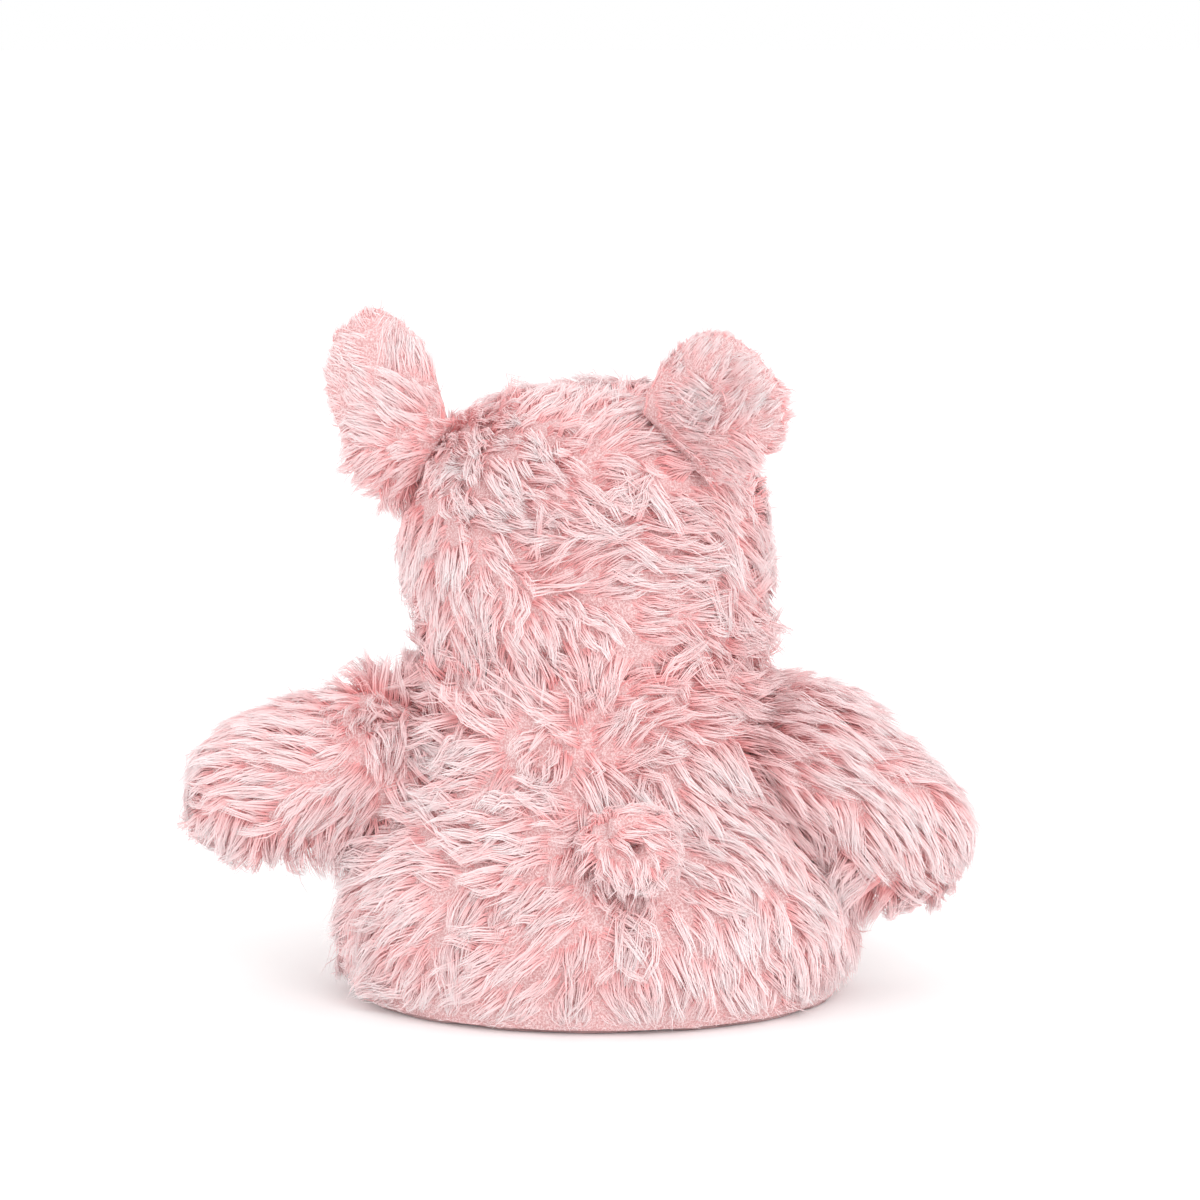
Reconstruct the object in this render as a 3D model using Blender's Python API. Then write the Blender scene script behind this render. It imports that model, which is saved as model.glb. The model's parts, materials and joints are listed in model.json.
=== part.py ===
"""A seated plush pig: long-pile fabric panels sewn over soft stuffing.

The pig faces -Y and sits on its flat base disc, whose centre is the origin. Its left side is +X.
Each cover is cut as the real one is, from panels that meet at seams with a small gap between them.
Head, ears, arms, legs and tail hang from empties that stand on the axes they turn about.
"""

import math

import bmesh
import bpy
from mathutils import Matrix, Vector

# Clearances
SEAM_GAP = 0.0003
SEAT_GAP = 0.00045
SOFT_SEAT_GAP = 0.0006
FILL_GAP = 0.0008
DISH_GAP = 0.0009
CUT_OVERRUN = 0.004
WELD_SHARE = 0.001

# Fabric walls, backing and flattened pile together
BODY_WALL = 0.008
LIMB_WALL = 0.007
SHORT_PILE_WALL = 0.0025
CLOTH_WALL = 0.0012

# Torso
BASE_THICKNESS = 0.002
BASE_HALF_WIDTH = 0.0828
BASE_HALF_DEPTH = 0.0705
TORSO_HEIGHT = 0.1190
TORSO_HALF_WIDTH = 0.0862
TORSO_HALF_DEPTH = 0.0750
NECK_SIDE_SHIFT = 0.0035
TORSO_HEIGHT_SHARES = (0.0, 0.06, 0.18, 0.31, 0.43, 0.54, 0.65, 0.76, 0.88, 1.0)
TORSO_SPREAD_SHARES = (0.89, 0.97, 1.0, 0.88, 0.64, 0.37, 0.16, 0.05, 0.0, 0.0)
BELLY_HALF_ANGLE = 72.0

# Pellet pouch in the base of the torso
POUCH_HALF_WIDTH = 0.052
POUCH_HALF_DEPTH = 0.042
POUCH_HALF_HEIGHT = 0.011
POUCH_FLOOR_GAP = 0.0003
POUCH_ROWS = 8

# Head, a ball below its middle with fuller upper corners
HEAD_RADIUS = 0.0595
HEAD_RISE_SHARE = 0.463
HEAD_CORNER_SHARE = 0.11
HEAD_TURN = -24.0
HEAD_TILT = 6.0
GUSSET_HALF_WIDTH = 0.017
GUSSET_END_HALF_WIDTH = 0.0010
GUSSET_FRONT_ANGLE = 30.0
GUSSET_REAR_ANGLE = 210.0
GUSSET_FULLNESS = 0.6

# Neck, with the turned-in edges of the head and torso covers
NECK_WIDTH_SHARE = 0.895
NECK_HALF_WIDTH = HEAD_RADIUS * NECK_WIDTH_SHARE
NECK_SEAM_THICKNESS = 0.0015
NECK_SEAM_INNER_ANGLE = 42.0
NECK_SEAM_OUTER_ANGLE = 56.0
NECK_SEAM_ROWS = 2

# Snout
SNOUT_HALF_WIDTH = 0.0215
SNOUT_HALF_HEIGHT = 0.0185
SNOUT_PROTRUSION = 0.0190
SNOUT_RISE_ANGLE = 4.0
SNOUT_FACE_BULGE = 0.0022
SNOUT_FACE_SHOULDER_SHARE = 0.75
SNOUT_ROOT_DEPTH = 0.0060
NOSTRIL_HALF_WIDTH = 0.0028
NOSTRIL_HALF_HEIGHT = 0.0045
NOSTRIL_SPACING = 0.0160
NOSTRIL_DEPTH = 0.0014
NOSTRIL_FLOOR_SHARE = 0.7

# Eyes, held by washers behind the fabric
EYE_RADIUS = 0.0066
EYE_DOME_HEIGHT = 0.0045
EYE_SEAT_DEPTH = 0.0012
EYE_SHANK_RADIUS = 0.0018
EYE_SHANK_END = 0.0020
EYE_SIDE_ANGLE = 29.0
EYE_RISE_ANGLE = 24.0
EYE_DOME_ROWS = 4
WASHER_RADIUS = 0.0065
WASHER_THICKNESS = 0.0015

# Ears
EAR_HEIGHT = 0.0470
EAR_HALF_WIDTH = 0.0225
EAR_BACK_THICKNESS = 0.0045
EAR_LINING_THICKNESS = 0.0028
EAR_TIP_THICKNESS_SHARE = 0.55
EAR_CUP_DEPTH = 0.0050
EAR_BEND_DEPTH = 0.0060
EAR_WIDTH_SHARES = (0.74, 0.92, 1.0, 0.97, 0.85, 0.62, 0.0)
EAR_HEIGHT_SHARES = (0.0, 0.18, 0.38, 0.58, 0.76, 0.91, 1.0)
EAR_CUP_START_SHARE = 0.33
EAR_ROOT_ANGLES = (90.0, 45.0)
EAR_RISE_ANGLE = 39.0
EAR_REAR_ANGLE = 22.0
EAR_LEANS = {"left": 5.0, "right": -10.0}
EAR_TIP_SIDE_SHIFTS = {"left": 0.0180, "right": -0.0040}

# Arms
ARM_RADIUS = 0.0248
ARM_LENGTH = 0.0660
SHOULDER_OUT = 0.0710
SHOULDER_HEIGHT_SHARE = 0.6613
ARM_DROOPS = {"left": 12.0, "right": 37.0}
ARM_LOWEST_DROOP = 45.0
ARM_LENGTH_SHARES = (0.0, 0.2, 0.4, 0.58, 0.74, 0.87, 0.96, 1.0)
ARM_RADIUS_SHARES = (1.0, 1.0, 0.99, 0.96, 0.87, 0.69, 0.40, 0.0)

# Legs
LEG_RADIUS = 0.0235
LEG_LENGTH = 0.0400
LEG_SPLAY = 14.0
HIP_SIDE = 0.0400
HIP_FORWARD = 0.0780
HIP_HEIGHT = 0.0255
LEG_LENGTH_SHARES = (0.0, 0.3, 0.6, 0.85, 1.0)
LEG_RADIUS_SHARES = (1.0, 1.0, 0.98, 0.93, 0.86)
FOOT_PAD_THICKNESS = 0.0022
FOOT_PAD_RADIUS = 0.0190

# Tail, a short curl on the centre back
TAIL_RADIUS = 0.0056
TAIL_TIP_RADIUS = 0.0038
TAIL_CURL_RADIUS = 0.0085
TAIL_STEM_LENGTH = 0.0100
TAIL_CURL_ANGLE = 320.0
TAIL_STEM_SHARE = 0.25
TAIL_TIGHTENING_SHARE = 0.25
TAIL_SIDE_SHIFT = -0.0030
TAIL_HEIGHT = 0.0680

# Facets
TORSO_SEGMENTS = 32
HEAD_SEGMENTS = 24
HEAD_ROWS = 6
LIMB_SEGMENTS = 16
BALL_ROWS = 3
SMALL_SEGMENTS = 16
CUTTER_SEGMENTS = 30
CUTTER_OFFSET_SHARE = 0.37
EAR_COLUMNS = 6
TAIL_SIDES = 8
TAIL_STEPS = 14
SHARP_ANGLE = 45.0
FOLD_SLANT = (0.11, 0.23, 1.0)

PINK_FUR = ((0.86, 0.60, 0.61, 1.0), 0.9)
PINK_SHORT_PILE = ((0.80, 0.47, 0.49, 1.0), 0.85)
PINK_CLOTH = ((0.78, 0.52, 0.52, 1.0), 0.8)
WHITE_CLOTH = ((0.85, 0.84, 0.82, 1.0), 0.85)
WHITE_STUFFING = ((0.90, 0.90, 0.88, 1.0), 0.95)
WHITE_PELLETS = ((0.82, 0.82, 0.80, 1.0), 0.6)
BLACK_PLASTIC = ((0.01, 0.01, 0.01, 1.0), 0.12)
WHITE_PLASTIC = ((0.80, 0.80, 0.80, 1.0), 0.4)


def clear_scene():
    for obj in list(bpy.data.objects):
        bpy.data.objects.remove(obj, do_unlink=True)


def make_material(name, look):
    """A plain surface of one colour and roughness."""
    colour, roughness = look
    material = bpy.data.materials.new(name)
    material.use_nodes = True
    shader = material.node_tree.nodes["Principled BSDF"]
    shader.inputs["Base Color"].default_value = colour
    shader.inputs["Roughness"].default_value = roughness
    shader.inputs["Metallic"].default_value = 0.0
    material.diffuse_color = colour
    return material


def make_object(name, mesh_builder, look=None, parent=None, place=None):
    """Turn a bmesh into a named object, seated under its parent empty."""
    mesh = bpy.data.meshes.new(name)
    bmesh.ops.recalc_face_normals(mesh_builder, faces=mesh_builder.faces)
    mesh_builder.to_mesh(mesh)
    mesh_builder.free()
    mesh.shade_smooth()
    mesh.set_sharp_from_angle(angle=math.radians(SHARP_ANGLE))
    obj = bpy.data.objects.new(name, mesh)
    bpy.context.collection.objects.link(obj)
    if look is not None:
        mesh.materials.append(make_material(name, look))
    if parent is not None:
        obj.parent = parent
    if place is not None:
        obj.matrix_local = place
    return obj


def make_cutter(name, mesh_builder, parent=None, place=None):
    """An object that only cuts others."""
    cutter = make_object(name, mesh_builder, None, parent, place)
    cutter.hide_render = True
    cutter.display_type = "WIRE"
    return cutter


def cut(obj, cutter):
    modifier = obj.modifiers.new(cutter.name, "BOOLEAN")
    modifier.operation = "DIFFERENCE"
    modifier.solver = "EXACT"
    modifier.object = cutter


def make_pivot(name, place, parent=None):
    """An empty on a joint's axis."""
    empty = bpy.data.objects.new(name, None)
    empty.empty_display_size = SEAT_GAP
    bpy.context.collection.objects.link(empty)
    empty.parent = parent
    empty.matrix_local = place
    return empty


def smooth_value(places, values, place):
    """The value at one place on a smooth curve through the given values."""
    last = len(places) - 1
    place = min(max(place, places[0]), places[last])
    index = max(i for i in range(last) if places[i] <= place)
    before, after = max(index - 1, 0), min(index + 2, last)
    span = places[index + 1] - places[index]
    start_slope = (values[index + 1] - values[before]) / (places[index + 1] - places[before])
    end_slope = (values[after] - values[index]) / (places[after] - places[index])
    t = (place - places[index]) / span
    return (
        (2 * t**3 - 3 * t**2 + 1) * values[index]
        + (t**3 - 2 * t**2 + t) * span * start_slope
        + (3 * t**2 - 2 * t**3) * values[index + 1]
        + (t**3 - t**2) * span * end_slope
    )


def add_grid(builder, rows, round_trip):
    """Vertices and quads for rows of points; each row is closed when round_trip is set."""
    grid = [[builder.verts.new(point) for point in row] for row in rows]
    count = len(grid[0])
    for low, high in zip(grid, grid[1:]):
        for i in range(count if round_trip else count - 1):
            j = (i + 1) % count
            builder.faces.new((low[i], low[j], high[j], high[i]))
    return grid


def weld(builder):
    """Collapse rows that end in a point."""
    bmesh.ops.remove_doubles(builder, verts=builder.verts, dist=SEAM_GAP * WELD_SHARE)


def bridge(builder, first, second):
    """Triangles between two rings, folded alike on both sides of a seam so that the sides never cross."""
    slant = Vector(FOLD_SLANT)
    for i in range(len(first)):
        j = (i + 1) % len(first)
        if first[i].co.dot(slant) > first[j].co.dot(slant):
            builder.faces.new((first[i], first[j], second[j]))
            builder.faces.new((first[i], second[j], second[i]))
        else:
            builder.faces.new((first[i], first[j], second[i]))
            builder.faces.new((first[j], second[j], second[i]))


def edge_ring(grid):
    """The vertices round an open grid, in order."""
    right = [row[-1] for row in grid[1:-1]]
    left = [row[0] for row in reversed(grid[1:-1])]
    return grid[0] + right + list(reversed(grid[-1])) + left


def panel_between(outer, inner):
    """A closed piece of thick fabric between an outer and an inner grid."""
    builder = bmesh.new()
    outer_grid = add_grid(builder, outer, False)
    inner_grid = add_grid(builder, inner, False)
    bridge(builder, edge_ring(outer_grid), edge_ring(inner_grid))
    weld(builder)
    return builder


def cup_between(outer, inner):
    """A closed cup of thick fabric whose first rows are points and whose last rows are its rim."""
    builder = bmesh.new()
    outer_grid = add_grid(builder, outer, True)
    inner_grid = add_grid(builder, inner, True)
    bridge(builder, outer_grid[-1], inner_grid[-1])
    weld(builder)
    return builder


def closed_form(rows):
    """A closed form from rings; an end ring that isn't a point is capped flat."""
    builder = bmesh.new()
    grid = add_grid(builder, rows, True)
    for ring in (grid[0], grid[-1]):
        if (ring[0].co - ring[1].co).length > SEAM_GAP:
            builder.faces.new(ring)
    weld(builder)
    return builder


def ring_between(profile, segments):
    """A turned ring: a closed profile of radius and height pairs, spun about Z."""
    builder = bmesh.new()
    rings = []
    for radius, height in profile:
        ring = []
        for i in range(segments):
            angle = math.tau * i / segments
            ring.append(builder.verts.new((radius * math.cos(angle), radius * math.sin(angle), height)))
        rings.append(ring)
    for i in range(len(rings)):
        bridge(builder, rings[i], rings[(i + 1) % len(rings)])
    return builder


def turned_solid(profile, segments, squash_share=1.0):
    """A solid of revolution about Z from radius and height pairs, its depth drawn in by a share."""
    rows = []
    for radius, height in profile:
        row = []
        for i in range(segments):
            angle = math.tau * i / segments
            row.append(Vector((radius * math.cos(angle), squash_share * radius * math.sin(angle), height)))
        rows.append(row)
    return closed_form(rows)


def torso_width(share):
    """Half width at a share of the height, from the neck's to the hips'."""
    spread = smooth_value(TORSO_HEIGHT_SHARES, TORSO_SPREAD_SHARES, share)
    return NECK_HALF_WIDTH + (TORSO_HALF_WIDTH - NECK_HALF_WIDTH) * spread


def torso_depth(share):
    spread = smooth_value(TORSO_HEIGHT_SHARES, TORSO_SPREAD_SHARES, share)
    return NECK_HALF_WIDTH + (TORSO_HALF_DEPTH - NECK_HALF_WIDTH) * spread


def torso_point(angle, share, depth):
    """A point at a depth under the torso's surface; angle 0 is the pig's left, 90 its back."""
    bottom = BASE_THICKNESS + SEAM_GAP
    turn = math.radians(angle)
    return Vector(
        (
            NECK_SIDE_SHIFT * share + (torso_width(share) - depth) * math.cos(turn),
            (torso_depth(share) - depth) * math.sin(turn),
            bottom + TORSO_HEIGHT * share,
        )
    )


def torso_panel(start, end):
    """Outer and inner grids between two angles, less half a seam at each side."""
    half_seam = math.degrees(SEAM_GAP / (NECK_HALF_WIDTH - BODY_WALL)) / 2
    steps = max(3, round((end - start) / 360.0 * TORSO_SEGMENTS))
    angles = [start + half_seam + (end - start - 2 * half_seam) * i / steps for i in range(steps + 1)]
    outer = [[torso_point(a, share, 0.0) for a in angles] for share in TORSO_HEIGHT_SHARES]
    inner = [[torso_point(a, share, BODY_WALL) for a in angles] for share in TORSO_HEIGHT_SHARES]
    return panel_between(outer, inner)


def neck_dish():
    """The hollow in the torso's top in which the head's ball sits."""
    radius = HEAD_RADIUS + SEAT_GAP + NECK_SEAM_THICKNESS + DISH_GAP
    return ball_cutter("neck_dish", radius, Matrix.Translation(head_centre()))


def ball_cutter(name, radius, place, parent=None):
    rows = CUTTER_SEGMENTS // 2
    profile = [
        (radius * math.sin(math.pi * i / rows), radius * math.cos(math.pi * i / rows))
        for i in range(rows + 1)
    ]
    return make_cutter(name, turned_solid(profile, CUTTER_SEGMENTS), parent, place)


def head_centre():
    top = BASE_THICKNESS + SEAM_GAP + TORSO_HEIGHT
    return Vector((NECK_SIDE_SHIFT, 0.0, top + HEAD_RADIUS * HEAD_RISE_SHARE))


def build_torso():
    """Base disc, back and belly panels and what they hold."""
    outline = [
        Vector((BASE_HALF_WIDTH * math.cos(a), BASE_HALF_DEPTH * math.sin(a), 0.0))
        for a in (math.tau * i / TORSO_SEGMENTS for i in range(TORSO_SEGMENTS))
    ]
    lift = Vector((0.0, 0.0, BASE_THICKNESS))
    make_object("base_panel", closed_form([outline, [point + lift for point in outline]]), PINK_CLOTH)

    belly_start = 270.0 - BELLY_HALF_ANGLE
    belly_end = 270.0 + BELLY_HALF_ANGLE
    panels = [
        make_object("back_panel_left", torso_panel(belly_end - 360.0, 90.0), PINK_FUR),
        make_object("back_panel_right", torso_panel(90.0, belly_start), PINK_FUR),
        make_object("belly_panel", torso_panel(belly_start, belly_end), PINK_FUR),
    ]

    angles = [360.0 * i / TORSO_SEGMENTS for i in range(TORSO_SEGMENTS)]
    depth = BODY_WALL + FILL_GAP
    rows = [[torso_point(a, share, depth) for a in angles] for share in TORSO_HEIGHT_SHARES]
    stuffing = make_object("torso_stuffing", closed_form(rows), WHITE_STUFFING)
    return panels + [stuffing]


def pouch_profile(grow):
    """Half widths and heights of the pouch from bottom to top, grown by a clearance."""
    profile = []
    for i in range(POUCH_ROWS + 1):
        angle = math.pi * i / POUCH_ROWS
        radius = (POUCH_HALF_WIDTH + grow) * math.sin(angle)
        profile.append((radius, -(POUCH_HALF_HEIGHT + grow) * math.cos(angle)))
    return profile


def pouch_half(profile, half, lift):
    """Rows of the lower or the upper half of the pouch, from its middle to its rim."""
    middle = POUCH_ROWS // 2
    picked = profile[: middle + 1] if half < 0 else list(reversed(profile[middle:]))
    squash_share = POUCH_HALF_DEPTH / POUCH_HALF_WIDTH
    rows = []
    for radius, level in picked:
        row = []
        for i in range(SMALL_SEGMENTS):
            angle = math.tau * i / SMALL_SEGMENTS
            point = (radius * math.cos(angle), squash_share * radius * math.sin(angle), level + lift)
            row.append(Vector(point))
        rows.append(row)
    return rows


def build_pouch(stuffing):
    """A flat pouch of pellets that weighs down the base, in its hollow in the stuffing."""
    height = BASE_THICKNESS + POUCH_FLOOR_GAP + POUCH_HALF_HEIGHT
    place = Matrix.Translation((0.0, 0.0, height))
    outer = pouch_profile(0.0)
    inner = pouch_profile(-CLOTH_WALL)
    for name, half in (("pellet_pouch_bottom", -1), ("pellet_pouch_top", 1)):
        lift = half * SEAM_GAP / 2
        cup = cup_between(pouch_half(outer, half, lift), pouch_half(inner, half, lift))
        make_object(name, cup, WHITE_CLOTH, None, place)
    squash_share = POUCH_HALF_DEPTH / POUCH_HALF_WIDTH
    fill = turned_solid(pouch_profile(-CLOTH_WALL - SEAM_GAP), SMALL_SEGMENTS, squash_share)
    make_object("pellet_fill", fill, WHITE_PELLETS, None, place)
    hollow = turned_solid(pouch_profile(SEAT_GAP), SMALL_SEGMENTS, squash_share)
    cut(stuffing, make_cutter("pouch_hollow", hollow, None, place))


def build_neck_seam(neck):
    """The ring of turned-in fabric between the head's ball and the torso's rim."""
    inner = HEAD_RADIUS + SEAT_GAP
    outer = inner + NECK_SEAM_THICKNESS
    first = math.radians(NECK_SEAM_INNER_ANGLE)
    last = math.radians(NECK_SEAM_OUTER_ANGLE)
    steps = range(NECK_SEAM_ROWS + 1)
    angles = [first + (last - first) * i / NECK_SEAM_ROWS for i in steps]
    profile = [(inner * math.sin(a), -inner * math.cos(a)) for a in angles]
    profile += [(outer * math.sin(a), -outer * math.cos(a)) for a in reversed(angles)]
    make_object("neck_seam_ring", ring_between(profile, TORSO_SEGMENTS), PINK_CLOTH, neck)


def head_radius(direction):
    """Distance from the head's centre to its surface, fuller at the upper corners."""
    if direction.z <= 0.0:
        return HEAD_RADIUS
    fullness = 4.0 * direction.x**2 * direction.z**2
    return HEAD_RADIUS * (1.0 + HEAD_CORNER_SHARE * fullness)


def head_point(turn, tilt, depth):
    """A point under the head's surface; turn goes round the X axis from the nose over the top."""
    direction = Vector(
        (
            math.cos(tilt),
            -math.sin(tilt) * math.cos(turn),
            math.sin(tilt) * math.sin(turn),
        )
    )
    return direction * (head_radius(direction) - depth)


def gusset_width(turn_degrees):
    """Half the width of the strip over the head, drawn in towards its ends."""
    if not GUSSET_FRONT_ANGLE <= turn_degrees <= GUSSET_REAR_ANGLE:
        return 0.0
    share = (turn_degrees - GUSSET_FRONT_ANGLE) / (GUSSET_REAR_ANGLE - GUSSET_FRONT_ANGLE)
    fullness = math.sin(math.pi * share) ** GUSSET_FULLNESS
    return GUSSET_END_HALF_WIDTH + (GUSSET_HALF_WIDTH - GUSSET_END_HALF_WIDTH) * fullness


def edge_tilt(turn_degrees, side_gap, depth):
    """The polar angle at which a panel ends beside the gusset or the centre seam."""
    reach = gusset_width(turn_degrees) + side_gap
    return math.acos(reach / (HEAD_RADIUS - depth))


def side_panel_rows(depth, side):
    """Rings from the middle of the cheek to the seam along the gusset."""
    rows = []
    for i in range(HEAD_ROWS + 1):
        row = []
        for j in range(HEAD_SEGMENTS):
            degrees = 360.0 * j / HEAD_SEGMENTS
            tilt = edge_tilt(degrees, SEAM_GAP / 2, depth) * i / HEAD_ROWS
            point = head_point(math.radians(degrees), tilt, depth)
            row.append(Vector((side * point.x, point.y, point.z)))
        rows.append(row)
    return rows


def gusset_rows(depth):
    step = 360.0 / HEAD_SEGMENTS
    first = round(GUSSET_FRONT_ANGLE / step)
    last = round(GUSSET_REAR_ANGLE / step)
    shares = (-1.0, -0.5, 0.0, 0.5, 1.0)
    rows = []
    for j in range(first, last + 1):
        degrees = min(max(j * step, GUSSET_FRONT_ANGLE), GUSSET_REAR_ANGLE)
        half = edge_tilt(degrees, -SEAM_GAP / 2, depth)
        tilts = [math.pi / 2 + (math.pi / 2 - half) * share for share in shares]
        rows.append([head_point(math.radians(degrees), tilt, depth) for tilt in tilts])
    return rows


def build_head(head):
    """Cheek panels, top gusset and stuffing."""
    for name, side in (("head_side_left", 1), ("head_side_right", -1)):
        cup = cup_between(side_panel_rows(0.0, side), side_panel_rows(BODY_WALL, side))
        make_object(name, cup, PINK_FUR, head)
    gusset = panel_between(gusset_rows(0.0), gusset_rows(BODY_WALL))
    make_object("head_gusset", gusset, PINK_FUR, head)
    depth = BODY_WALL + FILL_GAP
    rows = []
    for i in range(2 * HEAD_ROWS + 1):
        tilt = math.pi * i / (2 * HEAD_ROWS)
        turns = [math.tau * j / HEAD_SEGMENTS for j in range(HEAD_SEGMENTS)]
        rows.append([head_point(turn, tilt, depth) for turn in turns])
    return make_object("head_stuffing", closed_form(rows), WHITE_STUFFING, head)


def facing(direction):
    """A turn that carries local Z to the direction and keeps local X level."""
    z_axis = direction.normalized()
    x_axis = Vector((0.0, 0.0, 1.0)).cross(z_axis).normalized()
    y_axis = z_axis.cross(x_axis)
    return Matrix((x_axis, y_axis, z_axis)).transposed().to_4x4()


def build_snout(head):
    """A short drum of smooth fabric on the front of the head, with a face and two nostril dimples."""
    rise = math.radians(SNOUT_RISE_ANGLE)
    axis = Vector((0.0, -math.cos(rise), math.sin(rise)))
    place = facing(axis)
    squash_share = SNOUT_HALF_HEIGHT / SNOUT_HALF_WIDTH
    root = HEAD_RADIUS - SNOUT_ROOT_DEPTH
    front = HEAD_RADIUS + SNOUT_PROTRUSION
    seat = ball_cutter("snout_seat", HEAD_RADIUS + DISH_GAP, Matrix.Identity(4), head)

    inner = SNOUT_HALF_WIDTH - SHORT_PILE_WALL
    wall = ring_between(
        [
            (SNOUT_HALF_WIDTH, root),
            (SNOUT_HALF_WIDTH, front - SHORT_PILE_WALL),
            (SNOUT_HALF_WIDTH - SHORT_PILE_WALL / 2, front - SHORT_PILE_WALL / 4),
            (inner, front),
            (inner, root),
        ],
        2 * SMALL_SEGMENTS,
    )
    bmesh.ops.scale(wall, vec=(1.0, squash_share, 1.0), verts=wall.verts)
    snout_wall = make_object("snout_wall", wall, PINK_SHORT_PILE, head, place)
    cut(snout_wall, seat)

    inside = inner - SEAM_GAP
    face_back = front - SHORT_PILE_WALL
    disc = turned_solid(
        [
            (0.0, face_back),
            (inside, face_back),
            (inside, front - SNOUT_FACE_BULGE / 2),
            (inside * SNOUT_FACE_SHOULDER_SHARE, front + SNOUT_FACE_BULGE / 2),
            (0.0, front + SNOUT_FACE_BULGE),
        ],
        2 * SMALL_SEGMENTS,
        squash_share,
    )
    face = make_object("snout_face", disc, PINK_SHORT_PILE, head, place)
    for name, side in (("nostril_left", 1), ("nostril_right", -1)):
        top = front + SNOUT_FACE_BULGE + CUT_OVERRUN
        bottom = front + SNOUT_FACE_BULGE / 2 - NOSTRIL_DEPTH
        dimple = turned_solid(
            [
                (0.0, bottom),
                (NOSTRIL_HALF_HEIGHT * NOSTRIL_FLOOR_SHARE, bottom + NOSTRIL_DEPTH / 4),
                (NOSTRIL_HALF_HEIGHT, bottom + NOSTRIL_DEPTH),
                (NOSTRIL_HALF_HEIGHT, top),
                (0.0, top),
            ],
            SMALL_SEGMENTS,
        )
        width_share = NOSTRIL_HALF_WIDTH / NOSTRIL_HALF_HEIGHT
        bmesh.ops.scale(dimple, vec=(width_share, 1.0, 1.0), verts=dimple.verts)
        shift = Matrix.Translation((side * NOSTRIL_SPACING / 2, 0.0, 0.0))
        cut(face, make_cutter(name, dimple, head, place @ shift))

    core = [(inside, root), (inside, face_back - SEAM_GAP)]
    fill = turned_solid(core, SMALL_SEGMENTS, squash_share)
    cut(make_object("snout_stuffing", fill, WHITE_STUFFING, head, place), seat)


def build_eyes(head, stuffing):
    """Domed eyes on shanks that pass through the cheek, each held by a washer behind it."""
    rise = math.radians(EYE_RISE_ANGLE)
    washer_top = HEAD_RADIUS - BODY_WALL - SEAM_GAP
    shank_end = washer_top - WASHER_THICKNESS - EYE_SHANK_END
    seat = HEAD_RADIUS - EYE_SEAT_DEPTH
    for name, side in (("left", 1), ("right", -1)):
        turn = side * math.radians(EYE_SIDE_ANGLE)
        level = math.cos(rise)
        place = facing(Vector((math.sin(turn) * level, -math.cos(turn) * level, math.sin(rise))))
        profile = [(0.0, shank_end), (EYE_SHANK_RADIUS, shank_end), (EYE_SHANK_RADIUS, seat + SEAM_GAP)]
        for i in range(EYE_DOME_ROWS + 1):
            angle = math.pi / 2 * i / EYE_DOME_ROWS
            height = seat + SEAM_GAP + EYE_DOME_HEIGHT * math.sin(angle)
            profile.append((EYE_RADIUS * math.cos(angle), height))
        make_object("eye_" + name, turned_solid(profile, SMALL_SEGMENTS), BLACK_PLASTIC, head, place)

        washer_bore = EYE_SHANK_RADIUS + SEAM_GAP
        washer_bottom = washer_top - WASHER_THICKNESS
        washer = ring_between(
            [
                (WASHER_RADIUS, washer_bottom),
                (WASHER_RADIUS, washer_top - SEAM_GAP),
                (washer_bore, washer_top - SEAM_GAP),
                (washer_bore, washer_bottom),
            ],
            SMALL_SEGMENTS,
        )
        make_object("eye_washer_" + name, washer, WHITE_PLASTIC, head, place)

        hole_radius = EYE_SHANK_RADIUS + SEAT_GAP
        recess_radius = EYE_RADIUS + SEAT_GAP
        pocket_radius = WASHER_RADIUS + SEAT_GAP
        recess = turned_solid(
            [
                (hole_radius, washer_top),
                (hole_radius, seat),
                (recess_radius, seat),
                (recess_radius, seat + EYE_DOME_HEIGHT + CUT_OVERRUN),
            ],
            SMALL_SEGMENTS,
        )
        cheek = bpy.data.objects["head_side_" + name]
        cut(cheek, make_cutter("eye_recess_" + name, recess, head, place))
        washer_room = turned_solid(
            [
                (pocket_radius, washer_bottom - SEAT_GAP),
                (pocket_radius, HEAD_RADIUS - BODY_WALL + SEAT_GAP),
            ],
            SMALL_SEGMENTS,
        )
        cut(cheek, make_cutter("washer_seat_" + name, washer_room, head, place))
        pocket = turned_solid(
            [
                (hole_radius, shank_end - SEAT_GAP),
                (hole_radius, washer_bottom - SEAT_GAP),
                (pocket_radius, washer_bottom - SEAT_GAP),
                (pocket_radius, HEAD_RADIUS),
            ],
            SMALL_SEGMENTS,
        )
        cut(stuffing, make_cutter("eye_pocket_" + name, pocket, head, place))


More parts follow.
